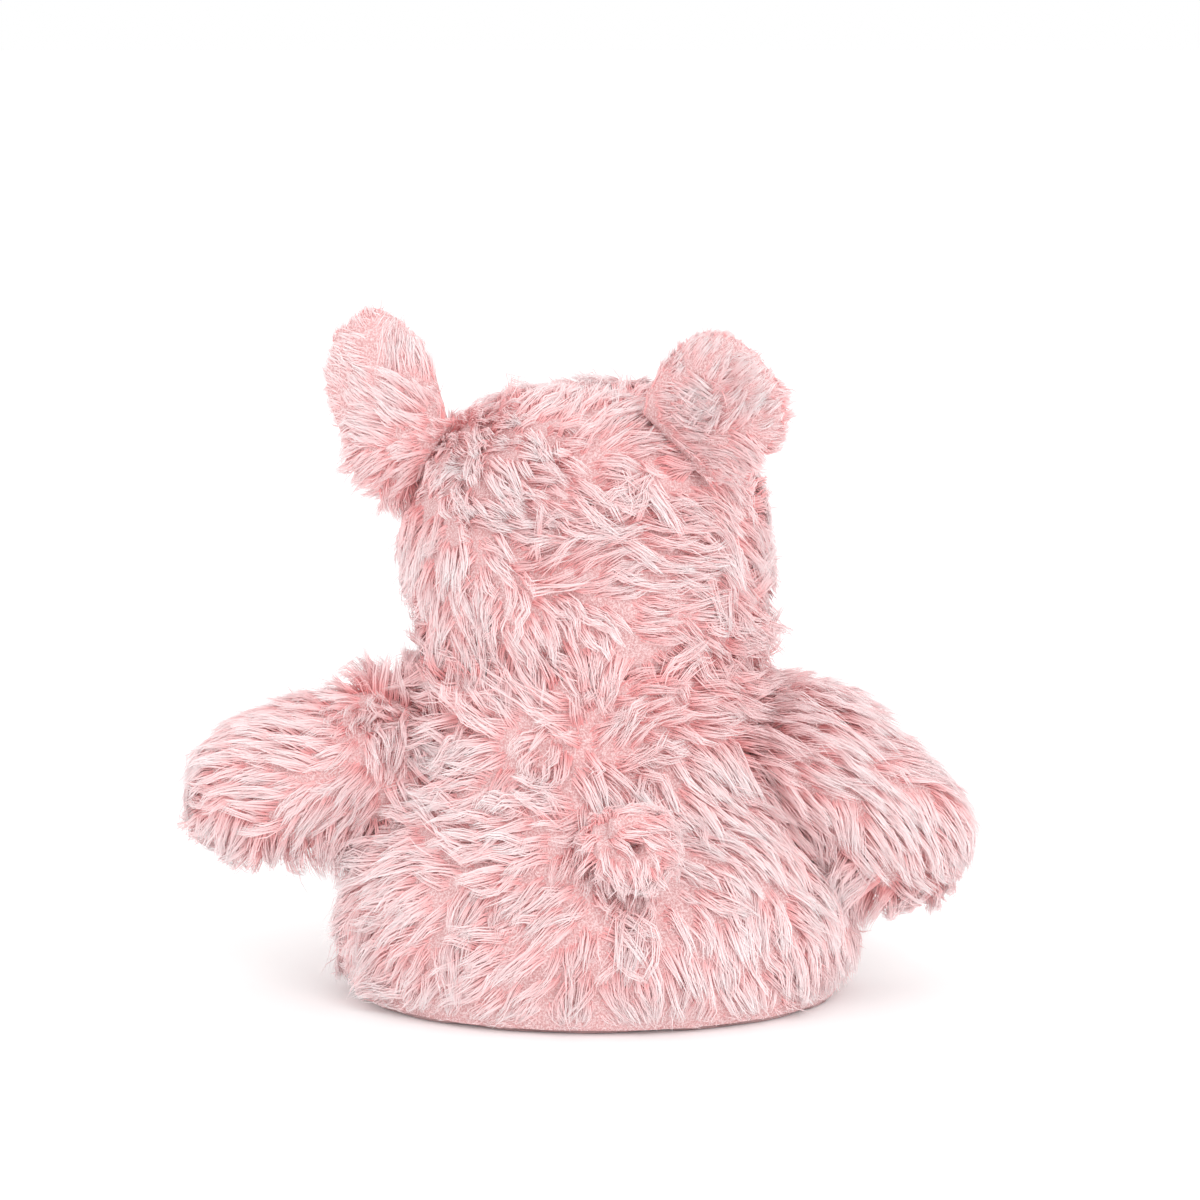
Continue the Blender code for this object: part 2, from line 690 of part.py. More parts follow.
def ear_grid(thickness_base, side, sign, tip_shift):
    """Outer and inner grids of one ear layer; sign is 1 for the back layer and -1 for the lining."""
    columns = [2.0 * i / EAR_COLUMNS - 1.0 for i in range(EAR_COLUMNS + 1)]
    outer, inner = [], []
    half_gap = sign * SEAM_GAP / 2

    def place(share, column, offset):
        width = EAR_HALF_WIDTH * smooth_value(EAR_HEIGHT_SHARES, EAR_WIDTH_SHARES, share)
        rise = max(share, 0.0)
        spread = width / EAR_HALF_WIDTH * column
        cupping = EAR_CUP_DEPTH * spread**2 * min(1.0, rise / EAR_CUP_START_SHARE)
        bend = cupping + EAR_BEND_DEPTH * rise**2
        return Vector(
            (
                side * (width * column + tip_shift * rise),
                offset - bend,
                EAR_HEIGHT * rise,
            )
        )

    for turn in EAR_ROOT_ANGLES:
        drop = thickness_base * math.sin(math.radians(turn))
        reach = thickness_base * math.cos(math.radians(turn))
        low = Vector((0.0, 0.0, -drop))
        outer.append([place(0.0, c, sign * reach + half_gap) + low for c in columns])
        inner.append([place(0.0, c, half_gap) + low for c in columns])
    for share in EAR_HEIGHT_SHARES:
        thickness = thickness_base * (1.0 - (1.0 - EAR_TIP_THICKNESS_SHARE) * share)
        outer.append([place(share, c, sign * thickness + half_gap) for c in columns])
        inner.append([place(share, c, half_gap) for c in columns])
    return outer, inner


def ear_place(name, side):
    """Where an ear's hinge lies: on the head's upper side, its Z standing off the head."""
    rise = math.radians(EAR_RISE_ANGLE)
    rear = math.radians(EAR_REAR_ANGLE)
    outward = Vector(
        (
            side * math.cos(rise) * math.cos(rear),
            math.cos(rise) * math.sin(rear),
            math.sin(rise),
        )
    )
    y_axis = Vector((0.0, 1.0, 0.0))
    y_axis = (y_axis - outward * y_axis.dot(outward)).normalized()
    x_axis = y_axis.cross(outward)
    frame = Matrix((x_axis, y_axis, outward)).transposed().to_4x4()
    facet_sag = HEAD_RADIUS * (1.0 - math.cos(math.pi / HEAD_SEGMENTS))
    distance = head_radius(outward) - facet_sag + EAR_BACK_THICKNESS + SEAM_GAP
    lean = Matrix.Rotation(math.radians(EAR_LEANS[name]), 4, "X")
    return Matrix.Translation(outward * distance) @ frame @ lean


def build_ears(head):
    """Two layered flaps with rounded roots that rest on the head."""
    for name, side in (("left", 1), ("right", -1)):
        pivot = make_pivot("ear_" + name + "_pivot", ear_place(name, side), head)
        tip_shift = -EAR_TIP_SIDE_SHIFTS[name]
        back = ear_grid(EAR_BACK_THICKNESS, side, 1, tip_shift)
        lining = ear_grid(EAR_LINING_THICKNESS, side, -1, tip_shift)
        make_object("ear_back_" + name, panel_between(*back), PINK_FUR, pivot)
        make_object("ear_lining_" + name, panel_between(*lining), PINK_SHORT_PILE, pivot)


def limb_profile(radius, length, length_shares, radius_shares, depth):
    """Places along a limb and radii there, from its root ball to its end, at a depth."""
    inner = radius - depth
    profile = []
    for i in range(BALL_ROWS):
        angle = math.pi / 2 * i / BALL_ROWS
        profile.append((-inner * math.cos(angle), inner * math.sin(angle)))
    reach = length - (depth if radius_shares[-1] == 0.0 else 0.0)
    for along, share in zip(length_shares, radius_shares):
        profile.append((reach * along, max(radius * share - depth, 0.0) if share else 0.0))
    return profile


def limb_half(profile, side, half, segments):
    """Rows of one half of a limb cover; the limb runs along side * X and half picks +Y or -Y."""
    rows = []
    for along, radius in profile:
        row = []
        for i in range(segments // 2 + 1):
            angle = math.tau * i / segments
            y = half * (radius * math.sin(angle) + SEAM_GAP / 2)
            row.append(Vector((side * along, y, radius * math.cos(angle))))
        rows.append(row)
    return rows


def limb_rings(profile, side, segments, offset_share=0.0):
    """Rings round a limb; the offset turns them by a share of one facet."""
    rows = []
    for along, radius in profile:
        row = []
        for i in range(segments):
            angle = math.tau * (i + offset_share) / segments
            row.append(Vector((side * along, radius * math.sin(angle), radius * math.cos(angle))))
        rows.append(row)
    return rows


def grown_profile(radius, length, length_shares, radius_shares, grow):
    """The limb's own profile with finer root rows, grown by a clearance."""
    profile = []
    rows = 2 * BALL_ROWS
    for i in range(rows):
        angle = math.pi / 2 * i / rows
        profile.append((-(radius + grow) * math.cos(angle), (radius + grow) * math.sin(angle)))
    for along, share in zip(length_shares, radius_shares):
        profile.append((length * along, radius * share + grow))
    return profile


def build_arms(torso_pieces):
    """Arms whose root balls sit in the torso's side seams, low in their range on the right."""
    shape = (ARM_RADIUS, ARM_LENGTH, ARM_LENGTH_SHARES, ARM_RADIUS_SHARES)
    for name, side in (("left", 1), ("right", -1)):
        share = SHOULDER_HEIGHT_SHARE
        height = BASE_THICKNESS + SEAM_GAP + TORSO_HEIGHT * share
        root = Vector((side * SHOULDER_OUT + NECK_SIDE_SHIFT * share, 0.0, height))
        droop = Matrix.Rotation(side * math.radians(ARM_DROOPS[name]), 4, "Y")
        pivot = make_pivot("shoulder_" + name + "_pivot", Matrix.Translation(root) @ droop)
        outer = limb_profile(*shape, 0.0)
        inner = limb_profile(*shape, LIMB_WALL)
        for piece, half in (("back", 1), ("front", -1)):
            panel = panel_between(
                limb_half(outer, side, half, LIMB_SEGMENTS),
                limb_half(inner, side, half, LIMB_SEGMENTS),
            )
            make_object("arm_" + piece + "_" + name, panel, PINK_FUR, pivot)
        fill = limb_rings(limb_profile(*shape, LIMB_WALL + FILL_GAP), side, LIMB_SEGMENTS)
        make_object("arm_stuffing_" + name, closed_form(fill), WHITE_STUFFING, pivot)

        lowest = Matrix.Rotation(side * math.radians(ARM_LOWEST_DROOP), 4, "Y")
        grown = grown_profile(*shape, SEAT_GAP)
        room = closed_form(limb_rings(grown, side, 2 * LIMB_SEGMENTS, CUTTER_OFFSET_SHARE))
        armhole = make_cutter("armhole_" + name, room, None, Matrix.Translation(root) @ lowest)
        for piece in torso_pieces:
            cut(piece, armhole)


def build_legs(torso_pieces):
    """Short legs that point forwards, each closed by a foot pad."""
    shape = (LEG_RADIUS, LEG_LENGTH, LEG_LENGTH_SHARES, LEG_RADIUS_SHARES)
    for name, side in (("left", 1), ("right", -1)):
        root = Vector((side * HIP_SIDE, -HIP_FORWARD, HIP_HEIGHT))
        turn = Matrix.Rotation(math.radians(-90.0 + side * LEG_SPLAY), 4, "Z")
        quarter = Matrix.Rotation(math.radians(90.0), 4, "X")
        pivot = make_pivot("hip_" + name + "_pivot", Matrix.Translation(root) @ turn @ quarter)
        outer = limb_profile(*shape, 0.0)
        inner = limb_profile(*shape, LIMB_WALL)
        for piece, half in (("upper", 1), ("under", -1)):
            panel = panel_between(
                limb_half(outer, 1, half, LIMB_SEGMENTS),
                limb_half(inner, 1, half, LIMB_SEGMENTS),
            )
            make_object("leg_" + piece + "_" + name, panel, PINK_FUR, pivot)
        fill = limb_rings(limb_profile(*shape, LIMB_WALL + FILL_GAP), 1, LIMB_SEGMENTS)
        make_object("leg_stuffing_" + name, closed_form(fill), WHITE_STUFFING, pivot)
        start = LEG_LENGTH + SEAM_GAP
        end = start + FOOT_PAD_THICKNESS
        pad = [(start, FOOT_PAD_RADIUS), (start + FOOT_PAD_THICKNESS / 2, FOOT_PAD_RADIUS)]
        pad += [(end, FOOT_PAD_RADIUS - FOOT_PAD_THICKNESS / 2)]
        disc = closed_form(limb_rings(pad, 1, LIMB_SEGMENTS))
        make_object("foot_pad_" + name, disc, PINK_SHORT_PILE, pivot)

        grown = grown_profile(*shape, SEAT_GAP)
        room = closed_form(limb_rings(grown, 1, 2 * LIMB_SEGMENTS, CUTTER_OFFSET_SHARE))
        hip = make_cutter("leg_hole_" + name, room, None, Matrix.Translation(root) @ turn @ quarter)
        for piece in torso_pieces:
            cut(piece, hip)


def tail_route():
    """Centre points of the tail and its radius at each, out from its root and round one curl."""
    points = []
    for i in range(TAIL_STEPS + 1):
        share = i / TAIL_STEPS
        if share < TAIL_STEM_SHARE:
            out = TAIL_STEM_LENGTH * share / TAIL_STEM_SHARE
            centre = Vector((0.0, out, 0.0))
        else:
            turn_share = (share - TAIL_STEM_SHARE) / (1.0 - TAIL_STEM_SHARE)
            turn = math.radians(TAIL_CURL_ANGLE) * turn_share
            curl = TAIL_CURL_RADIUS * (1.0 - TAIL_TIGHTENING_SHARE * turn_share)
            centre = Vector(
                (
                    curl * math.cos(turn) - TAIL_CURL_RADIUS,
                    TAIL_STEM_LENGTH + TAIL_RADIUS * turn_share,
                    -curl * math.sin(turn),
                )
            )
        radius = TAIL_RADIUS + (TAIL_TIP_RADIUS - TAIL_RADIUS) * share
        points.append((centre, radius))
    return points


def build_tail():
    """A stuffed tube that leaves the back seam and curls once."""
    share = (TAIL_HEIGHT - BASE_THICKNESS - SEAM_GAP) / TORSO_HEIGHT
    surface = torso_depth(share)
    root = Vector((TAIL_SIDE_SHIFT, surface + TAIL_RADIUS + SOFT_SEAT_GAP, TAIL_HEIGHT))
    pivot = make_pivot("tail_pivot", Matrix.Translation(root))
    route = tail_route()
    rows = [[Vector((0.0, -TAIL_RADIUS, 0.0))] * TAIL_SIDES]
    previous = Vector((1.0, 0.0, 0.0))
    for i, (centre, radius) in enumerate(route):
        ahead = route[min(i + 1, TAIL_STEPS)][0] - route[max(i - 1, 0)][0]
        ahead.normalize()
        previous = (previous - ahead * previous.dot(ahead)).normalized()
        across = ahead.cross(previous)
        ring = []
        for j in range(TAIL_SIDES):
            angle = math.tau * j / TAIL_SIDES
            ring.append(centre + radius * (previous * math.cos(angle) + across * math.sin(angle)))
        rows.append(ring)
    end, radius = route[-1]
    rows.append([end + ahead * radius] * TAIL_SIDES)
    make_object("tail", closed_form(rows), PINK_FUR, pivot)


def main():
    clear_scene()
    torso_pieces = build_torso()
    stuffing = torso_pieces[-1]
    build_pouch(stuffing)
    dish = neck_dish()
    for piece in torso_pieces:
        cut(piece, dish)
    neck = make_pivot("neck_pivot", Matrix.Translation(head_centre()))
    build_neck_seam(neck)
    turn = Matrix.Rotation(math.radians(HEAD_TURN), 4, "Z")
    tilt = Matrix.Rotation(math.radians(HEAD_TILT), 4, "Y")
    head = make_pivot("head_pivot", turn @ tilt, neck)
    head_stuffing = build_head(head)
    build_snout(head)
    build_eyes(head, head_stuffing)
    build_ears(head)
    build_arms(torso_pieces)
    build_legs(torso_pieces)
    build_tail()


main()
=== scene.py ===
import json
import math

import bmesh
import bpy
import numpy as np
from bpy.props import FloatProperty, FloatVectorProperty, IntProperty, PointerProperty
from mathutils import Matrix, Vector
from mathutils.bvhtree import BVHTree
from mathutils.kdtree import KDTree


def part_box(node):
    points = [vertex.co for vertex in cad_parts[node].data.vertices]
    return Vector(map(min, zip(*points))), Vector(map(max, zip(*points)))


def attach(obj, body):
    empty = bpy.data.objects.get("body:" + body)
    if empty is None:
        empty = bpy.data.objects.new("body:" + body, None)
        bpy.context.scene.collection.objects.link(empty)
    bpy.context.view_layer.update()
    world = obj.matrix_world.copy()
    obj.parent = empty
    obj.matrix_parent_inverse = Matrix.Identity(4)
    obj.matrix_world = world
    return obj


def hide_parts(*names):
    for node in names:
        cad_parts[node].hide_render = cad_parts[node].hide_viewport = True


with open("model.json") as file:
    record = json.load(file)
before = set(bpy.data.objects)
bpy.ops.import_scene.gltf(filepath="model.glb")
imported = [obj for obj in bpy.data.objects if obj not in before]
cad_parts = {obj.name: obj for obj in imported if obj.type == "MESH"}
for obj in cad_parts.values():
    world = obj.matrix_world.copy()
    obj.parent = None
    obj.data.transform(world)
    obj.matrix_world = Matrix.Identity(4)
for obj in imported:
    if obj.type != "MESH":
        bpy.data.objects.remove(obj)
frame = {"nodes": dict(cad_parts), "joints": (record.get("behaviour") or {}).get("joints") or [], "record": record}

bl_info = {
    "name": "Plush Pig",
    "version": (1, 0, 0),
    "blender": (4, 5, 0),
    "location": "3D View > Sidebar > Plush Pig",
    "description": "Covers, long pile, smooth parts and stage of a seated plush pig",
    "category": "Object",
}

SIDES = ("left", "right")

# The photograph's camera, behind the pig and a little above it
CAMERA_DISTANCE = 2.0
CAMERA_ELEVATION = math.radians(8.5)
CAMERA_AIM = np.array((-0.0007, 0.0, 0.1369))
PICTURE_WIDTH = 0.4128
SENSOR_WIDTH = 36.0
TOWARDS_CAMERA = np.array((0.0, math.cos(CAMERA_ELEVATION), math.sin(CAMERA_ELEVATION)))
PICTURE_RIGHT = np.array((-1.0, 0.0, 0.0))
PICTURE_UP = np.array((0.0, -math.sin(CAMERA_ELEVATION), math.cos(CAMERA_ELEVATION)))

JOINTS = {joint["name"]: joint for joint in frame["joints"]}
HEAD_CENTRE = np.array(JOINTS["head_turn"]["pos_m"])
HEAD_LEFT = np.array(JOINTS["head_nod"]["axis"])
HEAD_FACING = np.array((HEAD_LEFT[1], -HEAD_LEFT[0], 0.0)) / math.hypot(HEAD_LEFT[0], HEAD_LEFT[1])
HEAD_UP = np.cross(HEAD_FACING, HEAD_LEFT)
HEAD_RADIUS = 0.0595
STRIP_END = 0.0302
BROW_ANGLE = math.radians(17.0)
SNOUT_RADIUS = 0.024

# How the pile is combed. Each mark has its place seen from behind, across and up in millimetres, the
# angle it lies at, with 0 to picture right and 90 up, how far it stands, in degrees, and its length share.
HEAD_COMB = (
    (44, 206, 60, 45, 1.1), (27, 208, 85, 40, 0.9), (13, 210, 90, 34, 0.7), (-4, 207, 75, 32, 0.72),
    (53, 202, 118, 66, 1.15), (-53, 177, -74, 14, 0.5),
    (41, 197, -30, 30, 1.0), (3, 195, 15, 30, 1.0), (-14, 197, 15, 25, 1.0), (-28, 180, -15, 28, 1.0),
    (54, 187, -70, 30, 0.9), (44, 142, -88, 38, 0.9), (20, 178, -35, 35, 1.0), (13, 151, 12, 35, 1.0),
    (13, 126, -82, 38, 0.9), (6, 137, -20, 35, 1.0), (-14, 178, -75, 42, 1.1), (-14, 166, 0, 30, 1.0),
    (-45, 156, -55, 30, 1.0), (-56, 145, -76, 25, 0.95), (-1, 152, 9, 32, 1.0), (-21, 152, 3, 30, 1.0),
    (-35, 142, -8, 30, 1.0), (-52, 125, -80, 20, 0.85), (-1, 123, -85, 35, 1.0),
    (69, 158, -112, 45, 1.0), (67, 137, -106, 32, 0.9),
)
TORSO_COMB = (
    (8, 112, 85, 45, 1.0), (15, 104, 125, 40, 1.1), (10, 94, 150, 38, 1.0), (-14, 109, 45, 32, 1.0),
    (-1, 92, 58, 35, 1.0), (51, 116, 150, 40, 1.0),
    (68, 113, 150, 48, 1.2), (27, 96, 158, 32, 1.0), (10, 81, -60, 38, 1.0), (23, 90, 165, 32, 0.9),
    (41, 72, 180, 28, 1.0), (20, 72, 175, 28, 1.0), (8, 71, 198, 32, 0.9), (25, 83, -120, 50, 0.8),
    (18, 78, -60, 50, 0.8), (3, 75, -80, 35, 1.0), (-1, 64, -86, 40, 0.9), (10, 56, 186, 35, 1.0),
    (20, 51, 190, 30, 1.0), (47, 54, 191, 28, 1.0), (75, 43, 215, 30, 1.15), (88, 32, 240, 34, 1.2),
    (41, 27, 215, 28, 1.0),
    (82, 13, 232, 32, 1.0), (54, 6, 236, 30, 1.0), (27, 10, 246, 30, 1.0), (6, 13, 262, 35, 0.9),
    (6, 63, 160, 38, 0.8), (-14, 56, -5, 32, 1.1), (-28, 54, -8, 30, 1.1), (3, 45, -120, 48, 0.8),
    (-8, 45, -55, 50, 0.8), (-8, -4, -88, 30, 0.8), (-35, 20, -75, 28, 1.0), (-83, 6, -82, 28, 1.0),
    (-21, 103, -5, 32, 1.0), (-25, 90, -86, 42, 1.1), (-35, 99, -25, 30, 1.1), (-35, 68, -72, 32, 1.1),
    (-18, 72, -60, 45, 0.8), (-5, 82, 45, 36, 1.0), (-35, 51, -50, 30, 1.0), (-49, 43, -65, 28, 1.0),
    (-14, 64, -20, 45, 0.8), (-52, 109, -15, 42, 1.4), (-58, 117, -5, 55, 1.5),
    (60, 100, 178, 36, 1.3), (62, 88, 190, 34, 1.2), (-57, 100, -25, 38, 1.3), (-60, 88, -36, 34, 1.2),
)
ARM_COMBS = {"left": (
    (77, 112, 100, 44, 1.5), (69, 110, 84, 48, 1.5), (79, 95, 262, 42, 1.0), (72, 93, 268, 42, 1.0),
    (89, 103, 180, 18, 1.0), (89, 85, 172, 22, 1.0), (103, 85, 172, 22, 1.0), (135, 57, 225, 24, 0.85),
    (120, 51, 235, 28, 1.05), (92, 45, 258, 34, 1.4), (113, 41, 245, 34, 1.4), (76, 71, 265, 30, 0.9),
    (68, 81, 242, 30, 0.8),
), "right": (
    (-63, 105, -12, 32, 1.3), (-68, 96, -28, 34, 1.35), (-104, 88, -32, 26, 1.25), (-125, 43, -66, 22, 0.8),
    (-87, 40, -80, 30, 1.0), (-104, 30, -88, 26, 0.85), (-118, 30, -82, 24, 0.85), (-116, 82, -45, 30, 1.3),
)}
EAR_COMBS = {"left": (
    (54, 199, 115, 36, 1.1), (61, 209, 132, 14, 0.9), (69, 234, 95, 8, 0.5), (82, 229, 120, 8, 0.5),
    (85, 205, 140, 12, 0.6), (61, 195, 165, 20, 1.0), (84, 175, 196, 24, 1.2), (66, 172, 225, 36, 1.3),
    (58, 178, 235, 40, 1.3),
), "right": (
    (-18, 206, 40, 14, 0.9), (-26, 216, 48, 12, 0.8), (-35, 223, 52, 10, 0.6), (-45, 226, 55, 8, 0.5),
    (-56, 221, 30, 8, 0.5), (-35, 209, 22, 12, 0.9), (-49, 209, 15, 10, 0.8), (-21, 195, 5, 14, 1.0),
    (-35, 195, 2, 12, 1.0), (-64, 195, -8, 16, 0.95), (-60, 184, -30, 24, 1.2), (-35, 178, -12, 18, 0.9),
    (-24, 224, 118, 40, 0.9),
)}
TAIL_COMB = (
    (6, 57, 185, 12, 0.9), (0, 65, 110, 18, 0.6), (-1, 48, -100, 16, 1.0), (-10, 57, -8, 14, 1.0),
    (-10, 66, 30, 16, 0.7), (-10, 48, -70, 14, 1.05), (-22, 60, -10, 12, 0.95), (-20, 48, -65, 12, 1.0),
)
COMB_REACH = 4.0
COMB_FALLOFF = 1.6
PARTING_LIFT = math.radians(30.0)

# Pile, in metres and shares of a length
FIBRE_RINGS = 4
FIBRES_PER_PIECE = 13500
ROOT_DEPTH = 0.0010
CLEAR_HEIGHT = 0.0028
FLOOR_MARGIN = 0.0040
BAKE_MAP = "OFBake"
SIDE_STEP = 0.012
UNDERCOAT_SHARE = 0.34
UNDERCOAT_WIDTH = 1.9
NEIGHBOUR_REACH = 0.0030
# Painted shade: share by which fibres buried under their neighbours are drawn nearer the root colour
BURIED_PAINTED_SHADE = 0.30
CREASE_REACH = 0.018
# Painted shade: share by which fibres near another body, in a crease, are drawn nearer the root colour
CREASE_PAINTED_SHADE = 0.28
HANGING_REACH = 0.5
EYE_CLEARANCE = 0.0095
EYE_SHORT_PILE = (0.009, 0.026)
CREASE_TOUCH = 0.003
ROOT_TRIES = 3.0
ROOT_FLOOR = 0.0015
NORMAL_REACH = 0.007
LEAN_PULL = 0.36
STRAY_SHARE = 0.05
STRAY_SPREAD = 0.0028
FIBRE_SPREAD = 0.0005
RING_SPREAD = (1.0, 1.0, 0.8, 0.45)
RING_THICKNESS = (0.85, 1.0, 0.9, 0.0)
LEG_FORWARD = (0.24192, -0.9703, -0.45)

# Scatter of the locks: how far they turn and lift, in degrees, for a whole tuft and for each lock
TUFT_TURN = 22
LOCK_TURN = 12
TUFT_LIFT = (2, 8)
LOCK_LIFT = 5


COLOR = {"size": 3, "min": 0.0, "max": 1.0, "subtype": "COLOR"}
DISTANCE = {"unit": "LENGTH", "subtype": "DISTANCE", "precision": 5}


class PileSettings(bpy.types.PropertyGroup):
    seed: IntProperty(name="Seed", description="Number that the scatter of the locks starts from", default=11, min=0)
    lock_spacing: FloatProperty(
        name="Lock Spacing", description="Least distance between locks",
        default=0.0034, min=0.001, **DISTANCE)
    tuft_spacing: FloatProperty(
        name="Tuft Spacing", description="Least distance between the tufts that locks lean into",
        default=0.0105, min=0.001, **DISTANCE)
    fibres: IntProperty(name="Fibres", description="Fibres in a lock", default=22, min=3)
    fibre_radius: FloatProperty(
        name="Fibre Radius", description="Radius of a fibre where it is thickest",
        default=0.00017, min=0.00002, **DISTANCE)
    length: FloatProperty(
        name="Length", description="Length of the pile on the torso",
        default=0.0195, min=0.001, **DISTANCE)
    # Deeper than the tips: partly the fibres' own colour, partly painted shade deep in the pile
    root_color: FloatVectorProperty(
        name="Root Color", description="Colour of the fibres at the backing",
        default=(0.99, 0.46, 0.46), **COLOR)
    middle_color: FloatVectorProperty(
        name="Middle Color", description="Colour of the fibres half way",
        default=(0.99, 0.765, 0.77), **COLOR)
    tip_color: FloatVectorProperty(
        name="Tip Color", description="Colour of the fibres' tips",
        default=(0.96, 0.92, 0.925), **COLOR)
    # Darker than the fibre roots: partly the knit's own colour, partly painted shade under the pile
    backing_color: FloatVectorProperty(
        name="Backing Color", description="Colour of the knitted backing",
        default=(0.86, 0.43, 0.43), **COLOR)


class ClothSettings(bpy.types.PropertyGroup):
    short_pile_color: FloatVectorProperty(
        name="Short Pile Color", description="Colour of snout, ear linings and foot pads",
        default=(0.86, 0.49, 0.51), **COLOR)
    base_color: FloatVectorProperty(
        name="Base Color", description="Colour of the woven base disc",
        default=(0.76, 0.50, 0.50), **COLOR)
    stuffing_color: FloatVectorProperty(
        name="Stuffing Color", description="Colour of the fibre filling",
        default=(0.85, 0.85, 0.83), **COLOR)
    fill: FloatProperty(
        name="Fill", description="How tightly the covers are stuffed",
        default=0.8, min=0.0, max=1.0, subtype="FACTOR")


class EyeSettings(bpy.types.PropertyGroup):
    color: FloatVectorProperty(
        name="Color", description="Colour of the eyes",
        default=(0.006, 0.005, 0.005), **COLOR)
    roughness: FloatProperty(
        name="Roughness", description="Roughness of the eyes",
        default=0.08, min=0.0, max=1.0, subtype="FACTOR")


class StageSettings(bpy.types.PropertyGroup):
    key_power: FloatProperty(
        name="Key Power", description="Power of the large lamp at upper right",
        default=13.0, min=0.0, unit="POWER")
    fill_power: FloatProperty(
        name="Fill Power", description="Power of the lamp at left",
        default=3.0, min=0.0, unit="POWER")
    sky_level: FloatProperty(
        name="Sky Level", description="Strength of the even light from all round",
        default=1.05, min=0.0)
    floor_color: FloatVectorProperty(
        name="Floor Color", description="Colour of the floor",
        default=(1.0, 1.0, 1.0), **COLOR)


# ---- shader sockets
class Channel:
    """A shader socket that can be reckoned with. A sum or product of two makes a Math or Vector Math node."""

    def __init__(self, shader, socket):
        self.shader = shader
        self.socket = socket

    def reckon(self, operation, other, swapped=False):
        values = (other, self) if swapped else (self, other)
        vector = self.socket.type in ("VECTOR", "RGBA")
        kind = "ShaderNodeVectorMath" if vector else "ShaderNodeMath"
        return self.shader.node(kind, {"operation": operation}, dict(enumerate(values)))

    def __add__(self, other):
        return self.reckon("ADD", other)

    def __rsub__(self, other):
        return self.reckon("SUBTRACT", other, True)

    def __mul__(self, other):
        return self.reckon("MULTIPLY", other)


class Shader:
    """A material with one Principled surface, and the nodes that feed it."""

    def __init__(self, name, color, roughness, **constants):
        self.material = bpy.data.materials.new(name)
        self.material.use_nodes = True
        self.tree = self.material.node_tree
        self.surface = next(n for n in self.tree.nodes if n.type == "BSDF_PRINCIPLED")
        self.material.diffuse_color = (*color, 1.0)
        self.surface.inputs["Base Color"].default_value = (*color, 1.0)
        self.surface.inputs["Roughness"].default_value = roughness
        for name_, value in constants.items():
            self.surface.inputs[name_.replace("_", " ")].default_value = value

    def put(self, socket, value):
        if isinstance(value, Channel):
            self.tree.links.new(value.socket, socket)
        elif socket.type == "RGBA" and len(value) == 3:
            socket.default_value = (*value, 1.0)
        else:
            socket.default_value = value

    def node(self, kind, settings=None, inputs=None, output=0):
        made = self.tree.nodes.new(kind)
        for key, value in (settings or {}).items():
            setattr(made, key, value)
        for key, value in (inputs or {}).items():
            self.put(made.inputs[key], value)
        return Channel(self, made.outputs[output])

    def mix(self, share, first, second):
        settings = {"data_type": "RGBA", "clamp_factor": True}
        return self.node("ShaderNodeMix", settings, {0: share, 6: first, 7: second}, 2)

    def ramp(self, value, low, high):
        settings = {"interpolation_type": "SMOOTHSTEP", "clamp": True}
        return self.node("ShaderNodeMapRange", settings, {"Value": value, "From Min": low, "From Max": high})

    def place(self, scale):
        """Object coordinates, in units of 1 / scale."""
        where = self.node("ShaderNodeTexCoord", output="Object")
        return self.node("ShaderNodeMapping", {"vector_type": "POINT"}, {"Vector": where, "Scale": (scale,) * 3})

    def noise(self, scale, detail=2.0, roughness=0.5):
        inputs = {"Vector": self.place(scale), "Scale": 1.0, "Detail": detail, "Roughness": roughness}
        return self.node("ShaderNodeTexNoise", None, inputs)

    def bump(self, height, distance, strength=1.0):
        inputs = {"Height": height, "Distance": distance, "Strength": strength}
        self.put(self.surface.inputs["Normal"], self.node("ShaderNodeBump", None, inputs))

    def color(self, value):
        self.put(self.surface.inputs["Base Color"], value)


def fibre_material(pile):
    """Colour along the fibre from its root to its tip, a little unlike from lock to lock. The deeper root colour is
    partly the fibres' own and partly painted shade in the pile, and buried fibres and fibres in creases come out
    nearer it as painted shade.
    """
    shader = Shader("Pile fibre", pile.middle_color, 0.75)
    where = shader.node("ShaderNodeUVMap", {"uv_map": BAKE_MAP})
    parts = shader.tree.nodes.new("ShaderNodeSeparateXYZ")
    shader.put(parts.inputs[0], where)
    tone, along = Channel(shader, parts.outputs[0]), Channel(shader, parts.outputs[1])
    lower = shader.mix(shader.ramp(along, 0.0, 0.5), pile.root_color, pile.middle_color)
    whole = shader.mix(shader.ramp(along, 0.45, 0.95), lower, pile.tip_color)
    dark = shader.mix(shader.ramp(tone, 0.0, 0.5), (1.0, 0.88, 0.88), (1.0, 1.0, 1.0))
    light = shader.mix(shader.ramp(tone, 0.5, 1.0), (1.0, 1.0, 1.0), (1.0, 1.07, 1.07))
    shader.color(whole * dark * light)
    return shader.material


def backing_material(pile):
    """Knitted backing with the roots of the pile."""
    # The backing colour is partly painted shade under the pile
    shader = Shader("Pile backing", pile.backing_color, 0.9)
    roots, patches = shader.noise(1500.0, 3.0, 0.7), shader.noise(70.0, 2.0)
    deep = shader.mix(patches, tuple(0.65 * c for c in pile.backing_color), pile.backing_color)
    shader.color(shader.mix(shader.ramp(roots, 0.35, 0.70), deep, pile.middle_color))
    shader.bump(roots, 0.0008, 0.8)
    return shader.material


def short_pile_material(cloth):
    """Short dense pile, with strokes where it was brushed."""
    shader = Shader("Short pile", cloth.short_pile_color, 0.85, Sheen_Weight=0.5, Sheen_Roughness=0.4)
    fine, broad = shader.noise(1100.0, 3.0, 0.7), shader.noise(420.0, 3.0, 0.7)
    deep = tuple(0.86 * c for c in cloth.short_pile_color)
    pale = tuple(min(1.0, 1.08 * c) for c in cloth.short_pile_color)
    shader.color(shader.mix(shader.ramp(broad * 0.55 + fine * 0.45, 0.30, 0.68), deep, pale))
    shader.bump(fine * 0.6 + broad, 0.0012, 0.9)
    return shader.material


